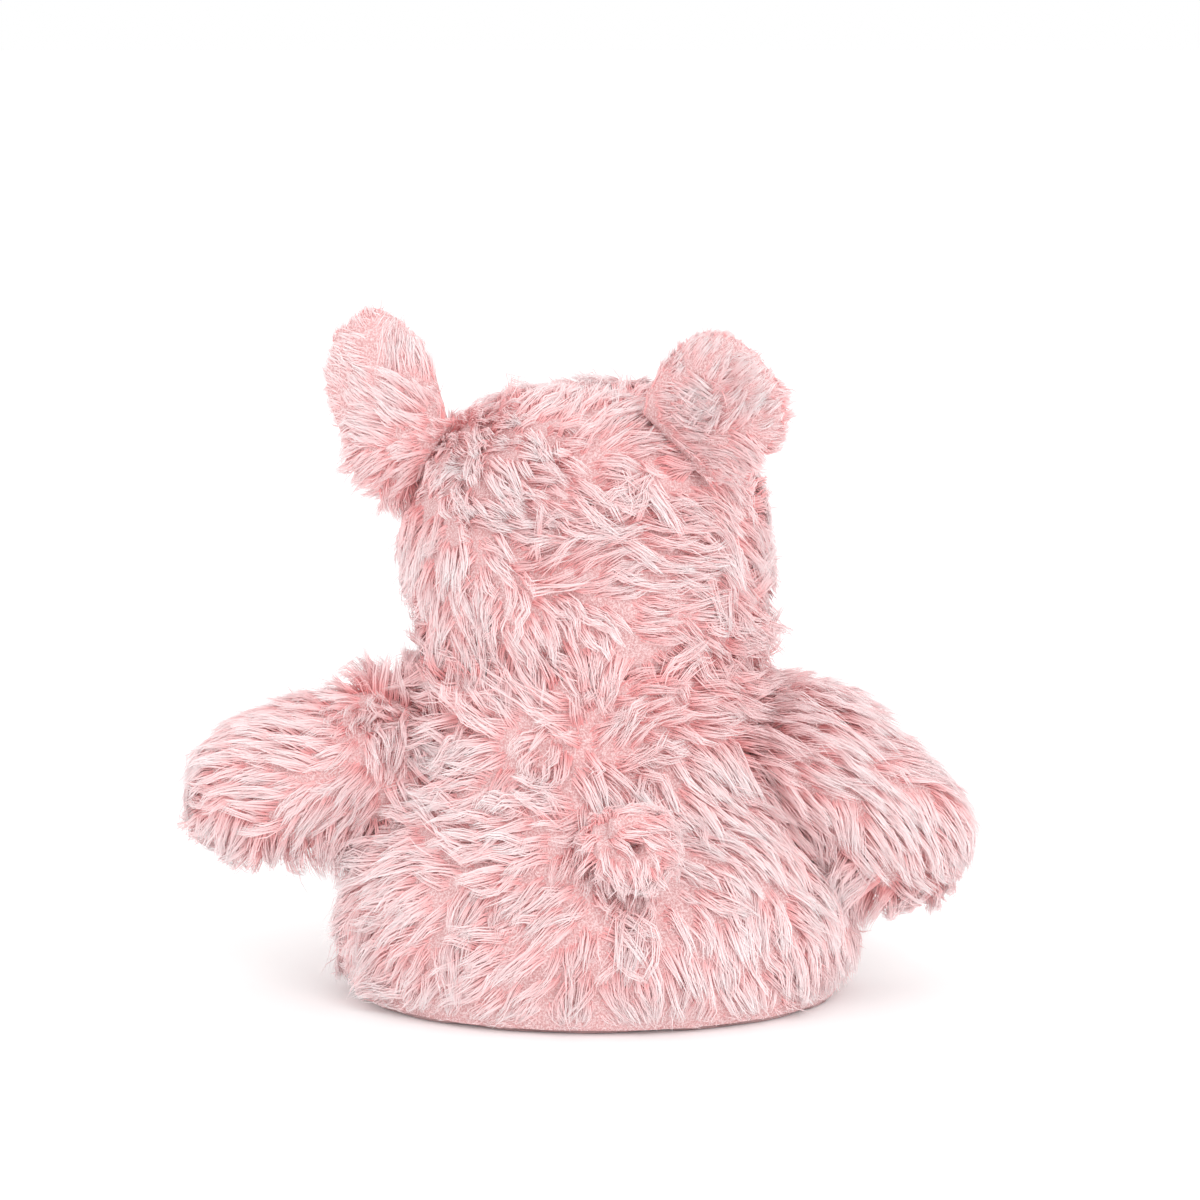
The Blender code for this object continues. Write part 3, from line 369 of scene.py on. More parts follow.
def woven_material(name, color, threads):
    """Plain weave of round threads."""
    shader = Shader(name, color, 0.8)
    settings = {"wave_type": "BANDS", "wave_profile": "SIN"}
    place = shader.place(threads)
    inputs = {"Vector": place, "Scale": 1.0}
    across, along = (
        shader.node("ShaderNodeTexWave", {**settings, "bands_direction": axis}, inputs, "Fac") for axis in "XY")
    weave = across * along
    shader.color(shader.mix(weave, tuple(0.82 * c for c in color), tuple(min(1.0, 1.08 * c) for c in color)))
    shader.bump(weave, 0.0003, 0.6)
    return shader.material


def stuffing_material(cloth):
    """Clumped fibre filling."""
    shader = Shader("Fibre filling", cloth.stuffing_color, 0.95)
    clumps, fine = shader.noise(120.0, 5.0, 0.65), shader.noise(1100.0, 2.0)
    shader.color(shader.mix(clumps, tuple(0.8 * c for c in cloth.stuffing_color), cloth.stuffing_color))
    shader.bump(clumps + fine * 0.3, 0.002, 0.8)
    return shader.material


def pellet_material():
    """Packed round pellets, with painted shade between them."""
    shader = Shader("Pellets", (0.80, 0.80, 0.76), 0.5)
    inputs = {"Vector": shader.place(330.0), "Scale": 1.0}
    cells = shader.node("ShaderNodeTexVoronoi", {"feature": "F1"}, inputs, "Distance")
    # Painted shade: each pellet is lighter at its middle and darker towards its edge and the gaps between pellets
    shader.color(shader.mix(cells, (0.86, 0.86, 0.82), (0.55, 0.55, 0.52)))
    shader.bump(1.0 - cells, 0.0015, 0.8)
    return shader.material


def eye_material(eyes):
    """Polished black plastic."""
    shader = Shader("Eye plastic", eyes.color, eyes.roughness, IOR=1.5, Coat_Weight=0.2, Coat_Roughness=0.04)
    haze = shader.noise(300.0, 2.0)
    shader.put(shader.surface.inputs["Roughness"], haze * 0.05 + (eyes.roughness - 0.02))
    return shader.material


def washer_material():
    """Plain white plastic with a faint grain."""
    shader = Shader("Washer plastic", (0.72, 0.72, 0.70), 0.45)
    grain = shader.noise(700.0, 2.0)
    shader.color(shader.mix(grain, (0.68, 0.68, 0.66), (0.76, 0.76, 0.74)))
    shader.bump(grain, 0.0001, 0.3)
    return shader.material


# ---- covers
def body_of(node):
    return next(body for body, names in frame["record"]["behaviour"]["bodies"].items() if node in names)


def merged_mesh(node):
    """The node's triangles joined into one closed bmesh."""
    shape = bmesh.new()
    shape.from_mesh(frame["nodes"][node].data)
    bmesh.ops.remove_doubles(shape, verts=shape.verts, dist=0.000002)
    bmesh.ops.dissolve_degenerate(shape, edges=shape.edges, dist=0.000002)
    bmesh.ops.recalc_face_normals(shape, faces=shape.faces)
    return shape


def new_piece(name, shape, material, smooth=True):
    mesh = bpy.data.meshes.new(name)
    if isinstance(shape, bmesh.types.BMesh):
        shape.to_mesh(mesh)
        shape.free()
    mesh.materials.append(material)
    piece = bpy.data.objects.new(name, mesh)
    bpy.context.scene.collection.objects.link(piece)
    if smooth:
        mesh.polygons.foreach_set("use_smooth", [True] * len(mesh.polygons))
    return piece


def stuffed_cover(name, node, material, sink, wrinkle, levels=0, strength=0.0008):
    """A padded cover in the place of a node: drawn in by sink, and uneven by wrinkle."""
    shape = merged_mesh(node)
    for edge in shape.edges:
        if len(edge.link_faces) == 2 and edge.calc_face_angle() > math.radians(40.0):
            edge.smooth = False
    shape.normal_update()
    for vert in shape.verts:
        vert.co -= vert.normal * sink
    piece = new_piece(name, shape, material)
    if levels:
        divide = piece.modifiers.new("Stuffed cloth", "SUBSURF")
        divide.subdivision_type = "SIMPLE"
        divide.levels = divide.render_levels = levels
        softened = piece.modifiers.new("Soft edges", "SMOOTH")
        softened.factor, softened.iterations = 0.5, 6
    texture = bpy.data.textures.new(name, "CLOUDS")
    texture.noise_scale = wrinkle
    uneven = piece.modifiers.new("Uneven filling", "DISPLACE")
    uneven.texture, uneven.strength, uneven.mid_level = texture, strength, 0.6
    uneven.texture_coords = "LOCAL"
    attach(piece, body_of(node))
    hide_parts(node)
    return piece


# ---- pile
def seen_from_behind(points):
    """Where points stand in the photograph's view, across and up, in millimetres."""
    offset = points - CAMERA_AIM
    nearer = CAMERA_DISTANCE / (CAMERA_DISTANCE - offset @ TOWARDS_CAMERA)
    across = CAMERA_AIM[0] - (offset @ PICTURE_RIGHT) * nearer
    up = CAMERA_AIM[2] + (offset @ PICTURE_UP) * nearer
    return np.stack((across, up), 1) * 1000.0


def unit(vectors):
    return vectors / np.maximum(np.linalg.norm(vectors, axis=-1, keepdims=True), 1e-9)


def combed(marks, roots):
    """Way, stand angle and length share of the pile at the roots, between the marks of a comb."""
    marks = np.array(marks, float)
    gap = ((seen_from_behind(roots)[:, None] - marks[None, :, :2]) ** 2).sum(2)
    weight = (gap + COMB_REACH ** 2) ** -COMB_FALLOFF
    weight /= weight.sum(1, keepdims=True)
    angle = np.radians(marks[:, 2])
    way = (weight @ np.cos(angle))[:, None] * PICTURE_RIGHT + (weight @ np.sin(angle))[:, None] * PICTURE_UP
    parting = 1.0 - np.linalg.norm(way, axis=1)
    return unit(way), weight @ np.radians(marks[:, 3]) + parting * PARTING_LIFT, weight @ marks[:, 4]


def blended(share, first, second):
    """Ways, stand angles and lengths that go from first to second as share goes from 0 to 1."""
    ways = unit(first[0] * (1 - share)[:, None] + second[0] * share[:, None])
    return ways, *(a * (1 - share) + b * share for a, b in zip(first[1:], second[1:]))


def eased(values, low, high):
    t = np.clip((values - low) / (high - low), 0.0, 1.0)
    return t * t * (3.0 - 2.0 * t)


def torso_way(roots):
    collar = eased(roots[:, 2], 0.100, 0.113)
    front = np.stack((roots[:, 0] * 6.0, roots[:, 1] * 0.0, 1.6 * collar - 1.0), 1)
    parting = (1 - np.abs(front[:, 2])) ** 2
    rule = unit(front), np.radians(26.0 + 30.0 * collar + 30.0 * parting), np.ones(len(roots)) + 0.25 * collar
    return blended(eased(roots[:, 1], 0.014, -0.014), combed(TORSO_COMB, roots), rule)


def head_way(roots):
    offset = roots - HEAD_CENTRE
    ahead = offset @ HEAD_FACING
    away = unit(offset - ahead[:, None] * HEAD_FACING)
    away[:, 2] -= 0.25
    near = np.linalg.norm(roots - HEAD_CENTRE - HEAD_FACING * HEAD_RADIUS, axis=1)
    far = eased(near, SNOUT_RADIUS, 0.058)
    rule = unit(away), np.radians(20.0 + 14.0 * far), 0.50 + 0.50 * far
    return blended(eased(ahead, -0.014, 0.014), combed(HEAD_COMB, roots), rule)


def comb_way(comb):
    """The way of the pile where one comb covers all of it."""
    return lambda roots: combed(comb, roots)


def leg_way(side):
    forward = np.array(LEG_FORWARD) * ((1, 1, 1) if side == "left" else (-1, 1, 1))

    def way(roots):
        ways = np.tile(unit(forward), (len(roots), 1))
        return ways, np.full(len(roots), math.radians(22.0)), np.ones(len(roots))

    return way


def tree_of(points):
    tree = KDTree(len(points))
    for i, point in enumerate(points):
        tree.insert(point, i)
    tree.balance()
    return tree


def thinned(points, spacing):
    """Indexes of points that keep at least spacing between them, the first come first."""
    tree = tree_of(points)
    dropped = np.zeros(len(points), bool)
    kept = []
    for i, point in enumerate(points):
        if dropped[i]:
            continue
        kept.append(i)
        for _, j, _ in tree.find_range(point, spacing):
            dropped[j] = True
    return np.array(kept, int)


def lock_roots(nodes, spacing, chance):
    """Places and outward directions of locks on the open side of the nodes."""
    solids = surface_of(frame["nodes"])
    roots, normals = [], []
    for node in nodes:
        mesh = frame["nodes"][node].data
        mesh.calc_loop_triangles()
        corners = np.array([[mesh.vertices[i].co for i in t.vertices] for t in mesh.loop_triangles])
        flat = np.cross(corners[:, 1] - corners[:, 0], corners[:, 2] - corners[:, 0])
        area = np.linalg.norm(flat, axis=1) / 2
        count = int(area.sum() / spacing ** 2 * ROOT_TRIES)
        pick = chance.choice(len(area), count, p=area / area.sum())
        a, b = chance.random(count), chance.random(count)
        over = a + b > 1
        a[over], b[over] = 1 - a[over], 1 - b[over]
        tri = corners[pick]
        places = tri[:, 0] + a[:, None] * (tri[:, 1] - tri[:, 0]) + b[:, None] * (tri[:, 2] - tri[:, 0])
        for place, out in zip(places, unit(flat[pick])):
            if place[2] < ROOT_FLOOR or out[2] < -0.9:
                continue
            start = Vector(place) + Vector(out) * 0.0002
            if solids.ray_cast(start, Vector(out), CLEAR_HEIGHT)[0] is None:
                roots.append(place)
                normals.append(out)
    roots, normals = np.array(roots), np.array(normals)
    tree = tree_of(roots)
    kept = thinned(roots, spacing)
    even = []
    for i in kept:
        near = [j for _, j, _ in tree.find_range(roots[i], NORMAL_REACH)]
        agree = normals[near][normals[near] @ normals[i] > 0.3]
        even.append(unit(agree.sum(0)))
    return roots[kept], np.array(even)


def lock_lines(roots, normals, ways, lifts, lengths, pile, curl, chance):
    """Middle lines of the locks, FIBRE_RINGS points each, the ways along and across them, their tufts and body."""
    count = len(roots)
    tufts = thinned(roots, pile.tuft_spacing)
    tree = tree_of(roots[tufts])
    tuft = np.array([tree.find(root)[1] for root in roots])
    outward = (ways * normals).sum(1)
    facing = normals @ TOWARDS_CAMERA
    seen = ways - (outward / np.maximum(facing, 0.4))[:, None] * TOWARDS_CAMERA
    flat = np.where((facing > 0)[:, None], seen, ways)
    along = unit(flat - (flat * normals).sum(1)[:, None] * normals)
    turn = np.radians(chance.normal(0, TUFT_TURN, len(tufts)))[tuft] + np.radians(chance.normal(0, LOCK_TURN, count))
    across = np.cross(normals, along)
    along = along * np.cos(turn)[:, None] + across * np.sin(turn)[:, None]
    across = np.cross(normals, along)
    lifts = lifts + np.radians(chance.normal(*TUFT_LIFT, len(tufts)))[tuft]
    lifts = lifts + np.radians(chance.normal(0, LOCK_LIFT, count))
    start = np.maximum(lifts + np.arcsin(np.clip(outward, 0, 1)) * 0.35 + np.radians(3), np.radians(8))
    end = np.where(start > np.radians(65), start - np.radians(18), start * 0.35 - np.radians(8))
    hanging = eased(outward, 0.55, 0.95) * (normals[:, 2] < -0.2)
    start = start + hanging * np.radians(25)
    end = end * (1 - hanging) + (start - np.radians(12)) * hanging
    lengths = lengths * chance.normal(1, 0.11, len(tufts))[tuft] * chance.normal(1, 0.10, count)
    wave, phase = chance.normal(0, curl, count), chance.uniform(0, 2 * math.pi, count)
    line = np.empty((count, FIBRE_RINGS, 3))
    line[:, 0] = roots - normals * ROOT_DEPTH
    steps = FIBRE_RINGS - 1
    for k in range(steps):
        t = (k + 0.5) / steps
        angle = start * (1 - t) + end * t
        sideways = wave * np.sin(phase + t * 3.5)
        way = along * np.cos(angle)[:, None] + normals * np.sin(angle)[:, None] + across * sideways[:, None]
        way[:, 2] -= 0.10 * t
        line[:, k + 1] = line[:, k] + unit(way) * (lengths / steps)[:, None]
    size = np.bincount(tuft, minlength=len(tufts))
    for k in range(1, FIBRE_RINGS):
        middle = np.stack([np.bincount(tuft, line[:, k, c], len(tufts)) / size for c in range(3)], 1)
        pull = LEAN_PULL * (k / steps) ** 2
        line[:, k] += (middle[tuft] - line[:, k]) * pull
    return line, along, across, tuft, chance.uniform(0.6, 1.35, len(tufts))[tuft] * (1 + HANGING_REACH * hanging)


def pressed(line, surface, reach, trimmed):
    """The lines at their full length, kept above the surface and bent in where they stand further than
    reach from it. Trimmed ones are cut shorter where they would stand past a rim."""
    for lock, limit in zip(line, reach):
        root = lock[0].copy()
        for _ in range(6 if trimmed else 0):
            if surface.find_nearest(Vector(lock[-1]))[3] < 1.6 * limit:
                break
            lock[:] = root + (lock - root) * 0.85
        steps = lock[1:] - lock[:-1]
        for k, step in enumerate(steps, 1):
            place = lock[k - 1] + step
            near, out, _, far = surface.find_nearest(Vector(place))
            near, out = np.array(near), np.array(out)
            t = k / len(steps)
            height, lowest, allowed = (place - near) @ out, 0.5 * limit * t, limit * t ** 0.6
            if height < lowest:
                place = place + out * (lowest - height)
            elif far > allowed:
                place = near + (place - near) * (allowed + 0.25 * (far - allowed)) / far
            lock[k] = lock[k - 1] + unit(place - lock[k - 1]) * np.linalg.norm(step)
    return line


def buried(line, surface):
    """How deep each point of the lines lies in the pile, from 0 on top of its neighbours to 1 under them. It sets the
    painted shade of buried fibres.
    """
    middles = (line[:, 1:] + line[:, :-1]) / 2
    places = np.concatenate((line, middles), 1).reshape(-1, 3)
    found = [surface.find_nearest(Vector(place)) for place in places]
    height = np.array([(Vector(place) - near).dot(out) for place, (near, out, _, _) in zip(places, found)])
    tree = tree_of([near for near, _, _, _ in found])
    above = np.empty(len(found))
    for i, (near, _, _, _) in enumerate(found):
        around = [j for _, j, _ in tree.find_range(near, NEIGHBOUR_REACH)]
        above[i] = (height[around] > height[i] + 0.0003).mean()
    return above.reshape(len(line), -1)[:, :FIBRE_RINGS]


def surface_of(nodes):
    """The nodes' triangles in one tree."""
    corners, faces = [], []
    for node in nodes:
        mesh, start = frame["nodes"][node].data, len(corners)
        corners += [v.co.copy() for v in mesh.vertices]
        faces += [[start + i for i in p.vertices] for p in mesh.polygons]
    return BVHTree.FromPolygons(corners, faces)


def furred(body):
    """The body's nodes that carry pile."""
    fur = [part["node"] for part in frame["record"]["subparts"] if part["material_slot"] == "fur"]
    return [node for node in fur if body_of(node) == body]


def in_crease(roots, body):
    """How near each root is to another furred body, from 0 clear of it to 1 touching it. It sets the painted shade in
    creases.
    """
    bodies = frame["record"]["behaviour"]["bodies"]
    others = surface_of([node for name in bodies if name != body for node in furred(name)])
    gap = np.array([others.find_nearest(Vector(root))[3] for root in roots])
    return 1 - eased(gap, CREASE_TOUCH, CREASE_REACH)


def held_up(line):
    """Locks whose tips would touch the floor are cut shorter."""
    root, tip = line[:, 0, 2], line[:, -1, 2]
    over = tip < FLOOR_MARGIN
    share = np.where(over, np.clip((root - FLOOR_MARGIN) / np.maximum(root - tip, 1e-6), 0.3, 1.0), 1.0)
    base = line[:, :1]
    return base + (line - base) * share[:, None, None]


def fibre_lines(line, along, across, half_width, pile, chance):
    """Each lock's fibres: spread round the middle line, drawn together a little at its ragged tip."""
    count, fibres = len(line), pile.fibres
    t = np.linspace(0, 1, FIBRE_RINGS)
    angle, reach = chance.uniform(0, 2 * math.pi, (count, fibres)), np.sqrt(chance.random((count, fibres)))
    under = fibres * UNDERCOAT_SHARE
    reach = np.where(np.arange(fibres) < under, 1.6, 1.0) * reach
    side, ahead = np.cos(angle) * reach, np.sin(angle) * reach
    spread = half_width * np.array(RING_SPREAD)
    reach_on = half_width * (1 - t)
    share = 1.0 - 0.24 * chance.random((count, fibres)) ** 1.5
    share = np.where(np.arange(fibres) < under, share * chance.uniform(0.45, 0.8, (count, fibres)), share)
    base = line[:, :1]
    points = base[:, None] + (line - base)[:, None] * share[..., None, None]
    points = points + across[:, None, None] * (side[..., None] * spread)[..., None]
    points = points + along[:, None, None] * (ahead[..., None] * reach_on)[..., None]
    up = np.cross(along, across)
    points = points + up[:, None, None] * (chance.normal(0, 0.35, (count, fibres, 1)) * half_width * t)[..., None]
    strays = chance.random((count, fibres)) < STRAY_SHARE
    loose = np.where(strays, STRAY_SPREAD, FIBRE_SPREAD)[..., None, None] * (t ** 1.6)[:, None]
    points = points + chance.normal(0, 1, (count, fibres, 1, 3)) * loose
    return points, share


def above_floor(points):
    """Points that would sink past the floor lie down just above it."""
    low = points[..., 2] < FLOOR_MARGIN
    lying = FLOOR_MARGIN * np.exp((points[..., 2] - FLOOR_MARGIN) / FLOOR_MARGIN)
    points[..., 2] = np.where(low, lying, points[..., 2])
    return points


def fibre_tubes():
    """Node tree that turns an object's fibre lines into closed three-sided tubes."""
    tree = bpy.data.node_groups.new("Fibre tubes", "GeometryNodeTree")
    tree.interface.new_socket("Lines", in_out="INPUT", socket_type="NodeSocketObject")
    tree.interface.new_socket("Geometry", in_out="OUTPUT", socket_type="NodeSocketGeometry")
    kinds = ("NodeGroupInput", "GeometryNodeObjectInfo", "GeometryNodeCurveSplineType", "GeometryNodeCurveToMesh",
             "GeometryNodeMergeByDistance", "NodeGroupOutput", "GeometryNodeCurvePrimitiveCircle",
             "GeometryNodeStoreNamedAttribute", "GeometryNodeInputIndex", "GeometryNodeInputRadius")
    given, info, straight, tube, weld, out, ring, store, index, radius = (tree.nodes.new(kind) for kind in kinds)
    straight.spline_type = "POLY"
    ring.inputs["Resolution"].default_value, ring.inputs["Radius"].default_value = 3, 1.0
    store.domain, store.data_type = "POINT", "FLOAT"
    store.inputs["Name"].default_value = "side"
    tube.inputs["Fill Caps"].default_value = True
    weld.inputs["Distance"].default_value = 1e-6
    link = tree.links.new
    link(given.outputs[0], info.inputs["Object"])
    link(info.outputs["Geometry"], straight.inputs["Curve"])
    link(straight.outputs[0], tube.inputs["Curve"])
    link(ring.outputs[0], store.inputs[0])
    link(index.outputs[0], store.inputs["Value"])
    link(store.outputs[0], tube.inputs["Profile Curve"])
    link(radius.outputs[0], tube.inputs["Scale"])
    link(tube.outputs[0], weld.inputs[0])
    link(weld.outputs[0], out.inputs[0])
    return tree


def fibre_mesh(name, points, radii, tones, heights, short):
    """One mesh of closed fibres, with tone across and height up the map BAKE_MAP; the heights given are lowered by
    painted shade. Short fibres have one ring less.
    """
    rings = points.shape[1]
    used = ~(short[:, None] & (np.arange(rings) == 1))
    data = bpy.data.hair_curves.new(name)
    data.add_curves(used.sum(1).tolist())
    data.position_data.foreach_set("vector", points[used].astype(np.float32).ravel())
    for label, domain, values in (
        ("radius", "POINT", radii[used]),
        ("along", "POINT", (0.02 + 0.96 * heights)[used]),
        ("tone", "CURVE", tones),
    ):
        attribute = data.attributes.get(label) or data.attributes.new(label, "FLOAT", domain)
        attribute.data.foreach_set("value", values.astype(np.float32).ravel())
    lines = bpy.data.objects.new(name + "_lines", data)
    host = bpy.data.objects.new(name + "_host", bpy.data.meshes.new(name + "_host"))
    for made in (lines, host):
        bpy.context.scene.collection.objects.link(made)
    tubes = host.modifiers.new("Fibre tubes", "NODES")
    tubes.node_group = fibre_tubes()
    tubes[tubes.node_group.interface.items_tree["Lines"].identifier] = lines
    depsgraph = bpy.context.evaluated_depsgraph_get()
    evaluated = host.evaluated_get(depsgraph)
    mesh = bpy.data.meshes.new_from_object(evaluated, preserve_all_data_layers=True, depsgraph=depsgraph)
    read = {}
    labels = ("tone", "along", "side")
    for label in labels:
        read[label] = np.empty(len(mesh.vertices), np.float32)
        mesh.attributes[label].data.foreach_get("value", read[label])
    corner = np.empty(len(mesh.loops), np.int32)
    mesh.loops.foreach_get("vertex_index", corner)
    side = np.round(read["side"][corner])
    chart = np.stack((read["tone"][corner] + side * SIDE_STEP, read["along"][corner] + 0.006 * (side == 1)), 1)
    layer = mesh.uv_layers.new(name=BAKE_MAP)
    layer.uv.foreach_set("vector", chart.astype(np.float32).ravel())
    for label in labels:
        mesh.attributes.remove(mesh.attributes[label])
    mesh.polygons.foreach_set("use_smooth", [False] * len(mesh.polygons))
    for made in (host, lines):
        bpy.data.objects.remove(made)
    return mesh


def grow_pile(group, nodes, way, pile, seed, length_share, reach, half_width=0.0021, spacing=1.0, curl=0.35,
              fineness=1.0, trimmed=False, bodies=()):
    """Long pile on the nodes of one body, as pieces of at most FIBRES_PER_PIECE fibres. It lies over the bodies."""
    chance = np.random.default_rng(pile.seed * 100 + seed)
    roots, normals = lock_roots(nodes, pile.lock_spacing * spacing, chance)
    ways, lifts, shares = way(roots)
    eyes = [np.array(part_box(f"eye_{side}")).mean(0) for side in SIDES]
    clear = np.min([np.linalg.norm(roots - eye, axis=1) for eye in eyes], axis=0)
    keep = clear > EYE_CLEARANCE
    roots, normals, ways, lifts, shares, clear = (v[keep] for v in (roots, normals, ways, lifts, shares, clear))
    shares = shares * (0.3 + 0.7 * eased(clear, *EYE_SHORT_PILE))
    lengths = shares * (pile.length * length_share)
    line, along, across, tuft, body = lock_lines(roots, normals, ways, lifts, lengths, pile, curl, chance)
    standing = 1 + 2.5 * eased(lifts, math.radians(55), math.radians(75))
    surface = surface_of([node for body_name in bodies or (body_of(nodes[0]),) for node in furred(body_name)])
    line = held_up(pressed(line, surface, reach * standing * body * np.maximum(shares ** 2, 0.3), trimmed))
    deep = buried(line, surface)
    points, heights = fibre_lines(line, along, across, half_width, pile, chance)
    points = above_floor(points)
    # Painted shade: buried fibres and fibres in creases are drawn nearer the root colour by lowering their height up
    # the colour map.
    shade = 1 - BURIED_PAINTED_SHADE * deep - CREASE_PAINTED_SHADE * in_crease(roots, body_of(nodes[0]))[:, None]
    heights = heights[..., None] * (np.linspace(0, 1, FIBRE_RINGS) * shade)[:, None]
    count, fibres = points.shape[:2]
    tones = chance.normal(0.5, 0.11, tuft.max() + 1)[tuft][:, None] + chance.normal(0, 0.12, (count, 1))
    tones = np.clip(tones + chance.normal(0, 0.10, (count, fibres)), 0.02, 0.95)
    thickness = pile.fibre_radius * fineness * chance.uniform(0.75, 1.1, (count, fibres, 1)) * np.array(RING_THICKNESS)
    short = np.tile(np.arange(fibres) < fibres * UNDERCOAT_SHARE, (count, 1))
    thickness = thickness * np.where(short, UNDERCOAT_WIDTH, 1.0)[..., None]
    order = np.argsort(roots[:, 0] * 0.3 + roots[:, 2])
    points, thickness, tones, heights = (v[order] for v in (points, thickness, tones, heights))
    locks = FIBRES_PER_PIECE // fibres
    material = bpy.data.materials.get("Pile fibre") or fibre_material(pile)
    pieces = max(1, math.ceil(count / locks))
    bounds = np.linspace(0, count, pieces + 1).astype(int)
    for i, (a, b) in enumerate(zip(bounds[:-1], bounds[1:])):
        name = f"pile_{group}" if pieces == 1 else f"pile_{group}_{i + 1}"
        mesh = fibre_mesh(name, points[a:b].reshape(-1, FIBRE_RINGS, 3), thickness[a:b].reshape(-1, FIBRE_RINGS),
                          tones[a:b].ravel(), heights[a:b].reshape(-1, FIBRE_RINGS), short[a:b].ravel())
        mesh.name = name
        mesh.materials.clear()
        mesh.materials.append(material)
        piece = bpy.data.objects.new(name, mesh)
        bpy.context.scene.collection.objects.link(piece)
        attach(piece, body_of(nodes[0]))
    print(f"pile {group}: {count} locks, {count * fibres} fibres, {pieces} pieces")


def lay_backing(nodes, pile, swell=0.0007):
    """Padded covers in the place of the nodes, swelled a little so that the seam gaps between them close."""
    material = bpy.data.materials.get("Pile backing") or backing_material(pile)
    for node in nodes:
        stuffed_cover(f"{node}_cover", node, material, -swell, 0.02, 0, 0.0002)


def close_brow(cover):
    """Draws the front end of the head's top strip down behind the snout, between the side panels."""
    for vert in cover.data.vertices:
        offset = np.array(vert.co) - HEAD_CENTRE
        across, ahead, up = offset @ HEAD_LEFT, offset @ HEAD_FACING, offset @ HEAD_UP
        if ahead > 0.03 and up < STRIP_END:
            radius = math.hypot(ahead, up)
            brow = math.cos(BROW_ANGLE) * HEAD_FACING + math.sin(BROW_ANGLE) * HEAD_UP
            vert.co = Vector(HEAD_CENTRE + (across * 0.5 * HEAD_LEFT + radius * brow))


# ---- operators
class PLUSH_OT_torso(bpy.types.Operator):
    """Sew and fur the torso's back and belly panels"""

    bl_idname = "plush.torso"
    bl_label = "Torso"

    def execute(self, context):
        scene = context.scene
        lay_backing(("back_panel_left", "back_panel_right", "belly_panel"), scene.pig_pile)
        spacings = (("back_panel_left", 1.0), ("back_panel_right", 1.0), ("belly_panel", 1.04))
        for i, (node, spacing) in enumerate(spacings):
            grow_pile(node, (node,), torso_way, scene.pig_pile, i, 1.0, 0.0045, spacing=spacing,
                      bodies=("torso", "arm_left", "arm_right", "head"))
        return {"FINISHED"}


class PLUSH_OT_head(bpy.types.Operator):
    """Sew and fur the head's side panels and top strip"""

    bl_idname = "plush.head"
    bl_label = "Head"

    def execute(self, context):
        scene = context.scene
        nodes = ("head_side_left", "head_side_right", "head_gusset")
        lay_backing(nodes, scene.pig_pile)
        close_brow(bpy.data.objects["head_gusset_cover"])
        for i, node in enumerate(nodes):
            grow_pile(node, (node,), head_way, scene.pig_pile, 10 + i, 0.95, 0.0042,
                      bodies=("head", "torso"))
        return {"FINISHED"}


class PLUSH_OT_ears(bpy.types.Operator):
    """Fur the ears' backs and lay their short-pile linings"""

    bl_idname = "plush.ears"
    bl_label = "Ears"

    def execute(self, context):
        scene = context.scene
        lining = bpy.data.materials.get("Short pile") or short_pile_material(scene.pig_cloth)
        for i, side in enumerate(SIDES):
            lay_backing((f"ear_back_{side}",), scene.pig_pile, 0.0002)
            node = f"ear_lining_{side}"
            stuffed_cover(f"{node}_cloth", node, lining, -0.0002, 0.012, 1)
            grow_pile(f"ear_{side}", (f"ear_back_{side}",), comb_way(EAR_COMBS[side]), scene.pig_pile, 20 + i,
                      0.95, 0.0030, 0.0018, 0.7, 0.12, 0.85, True)
        return {"FINISHED"}


class PLUSH_OT_arms(bpy.types.Operator):
    """Sew and fur the arms"""

    bl_idname = "plush.arms"
    bl_label = "Arms"

    def execute(self, context):
        scene = context.scene
        for i, side in enumerate(SIDES):
            nodes = (f"arm_back_{side}", f"arm_front_{side}")
            lay_backing(nodes, scene.pig_pile, 0.0002)
            for j, node in enumerate(nodes):
                grow_pile(node, (node,), comb_way(ARM_COMBS[side]), scene.pig_pile, 30 + 2 * i + j,
                          0.92, 0.0048, 0.0018, 0.9, 0.15, 0.9,
                          bodies=(f"arm_{side}", "torso"))
        return {"FINISHED"}


class PLUSH_OT_legs(bpy.types.Operator):
    """Sew and fur the legs and lay their foot pads"""

    bl_idname = "plush.legs"
    bl_label = "Legs"

    def execute(self, context):
        scene = context.scene
        pad = bpy.data.materials.get("Short pile") or short_pile_material(scene.pig_cloth)
        for i, side in enumerate(SIDES):
            nodes = (f"leg_upper_{side}", f"leg_under_{side}")
            lay_backing(nodes, scene.pig_pile)
            stuffed_cover(f"foot_pad_{side}_cloth", f"foot_pad_{side}", pad, -0.0002, 0.01, 1)
            grow_pile(f"leg_{side}", nodes, leg_way(side), scene.pig_pile, 40 + i,
                      0.7, 0.0045, spacing=1.12)
        return {"FINISHED"}


class PLUSH_OT_tail(bpy.types.Operator):
    """Cover and fur the tail"""

    bl_idname = "plush.tail"
    bl_label = "Tail"

    def execute(self, context):
        scene = context.scene
        lay_backing(("tail",), scene.pig_pile)
        grow_pile("tail", ("tail",), comb_way(TAIL_COMB), scene.pig_pile, 50,
                  0.95, 0.0048, 0.0018, 0.75, 0.3, bodies=("tail", "torso"))
        return {"FINISHED"}


class PLUSH_OT_snout(bpy.types.Operator):
    """Cover the snout with short pile"""

    bl_idname = "plush.snout"
    bl_label = "Snout"

    def execute(self, context):
        material = bpy.data.materials.get("Short pile") or short_pile_material(context.scene.pig_cloth)
        for node in ("snout_wall", "snout_face"):
            stuffed_cover(f"{node}_cloth", node, material, -0.0011, 0.01, 1)
        return {"FINISHED"}


class PLUSH_OT_base(bpy.types.Operator):
    """Cover the base disc with woven cloth"""

    bl_idname = "plush.base"
    bl_label = "Base"

    def execute(self, context):
        cloth = context.scene.pig_cloth
        material = woven_material("Base weave", cloth.base_color, 2600.0)
        stuffed_cover("base_cloth", "base_panel", material, 0.0, 0.02, 1, 0.0)
        return {"FINISHED"}


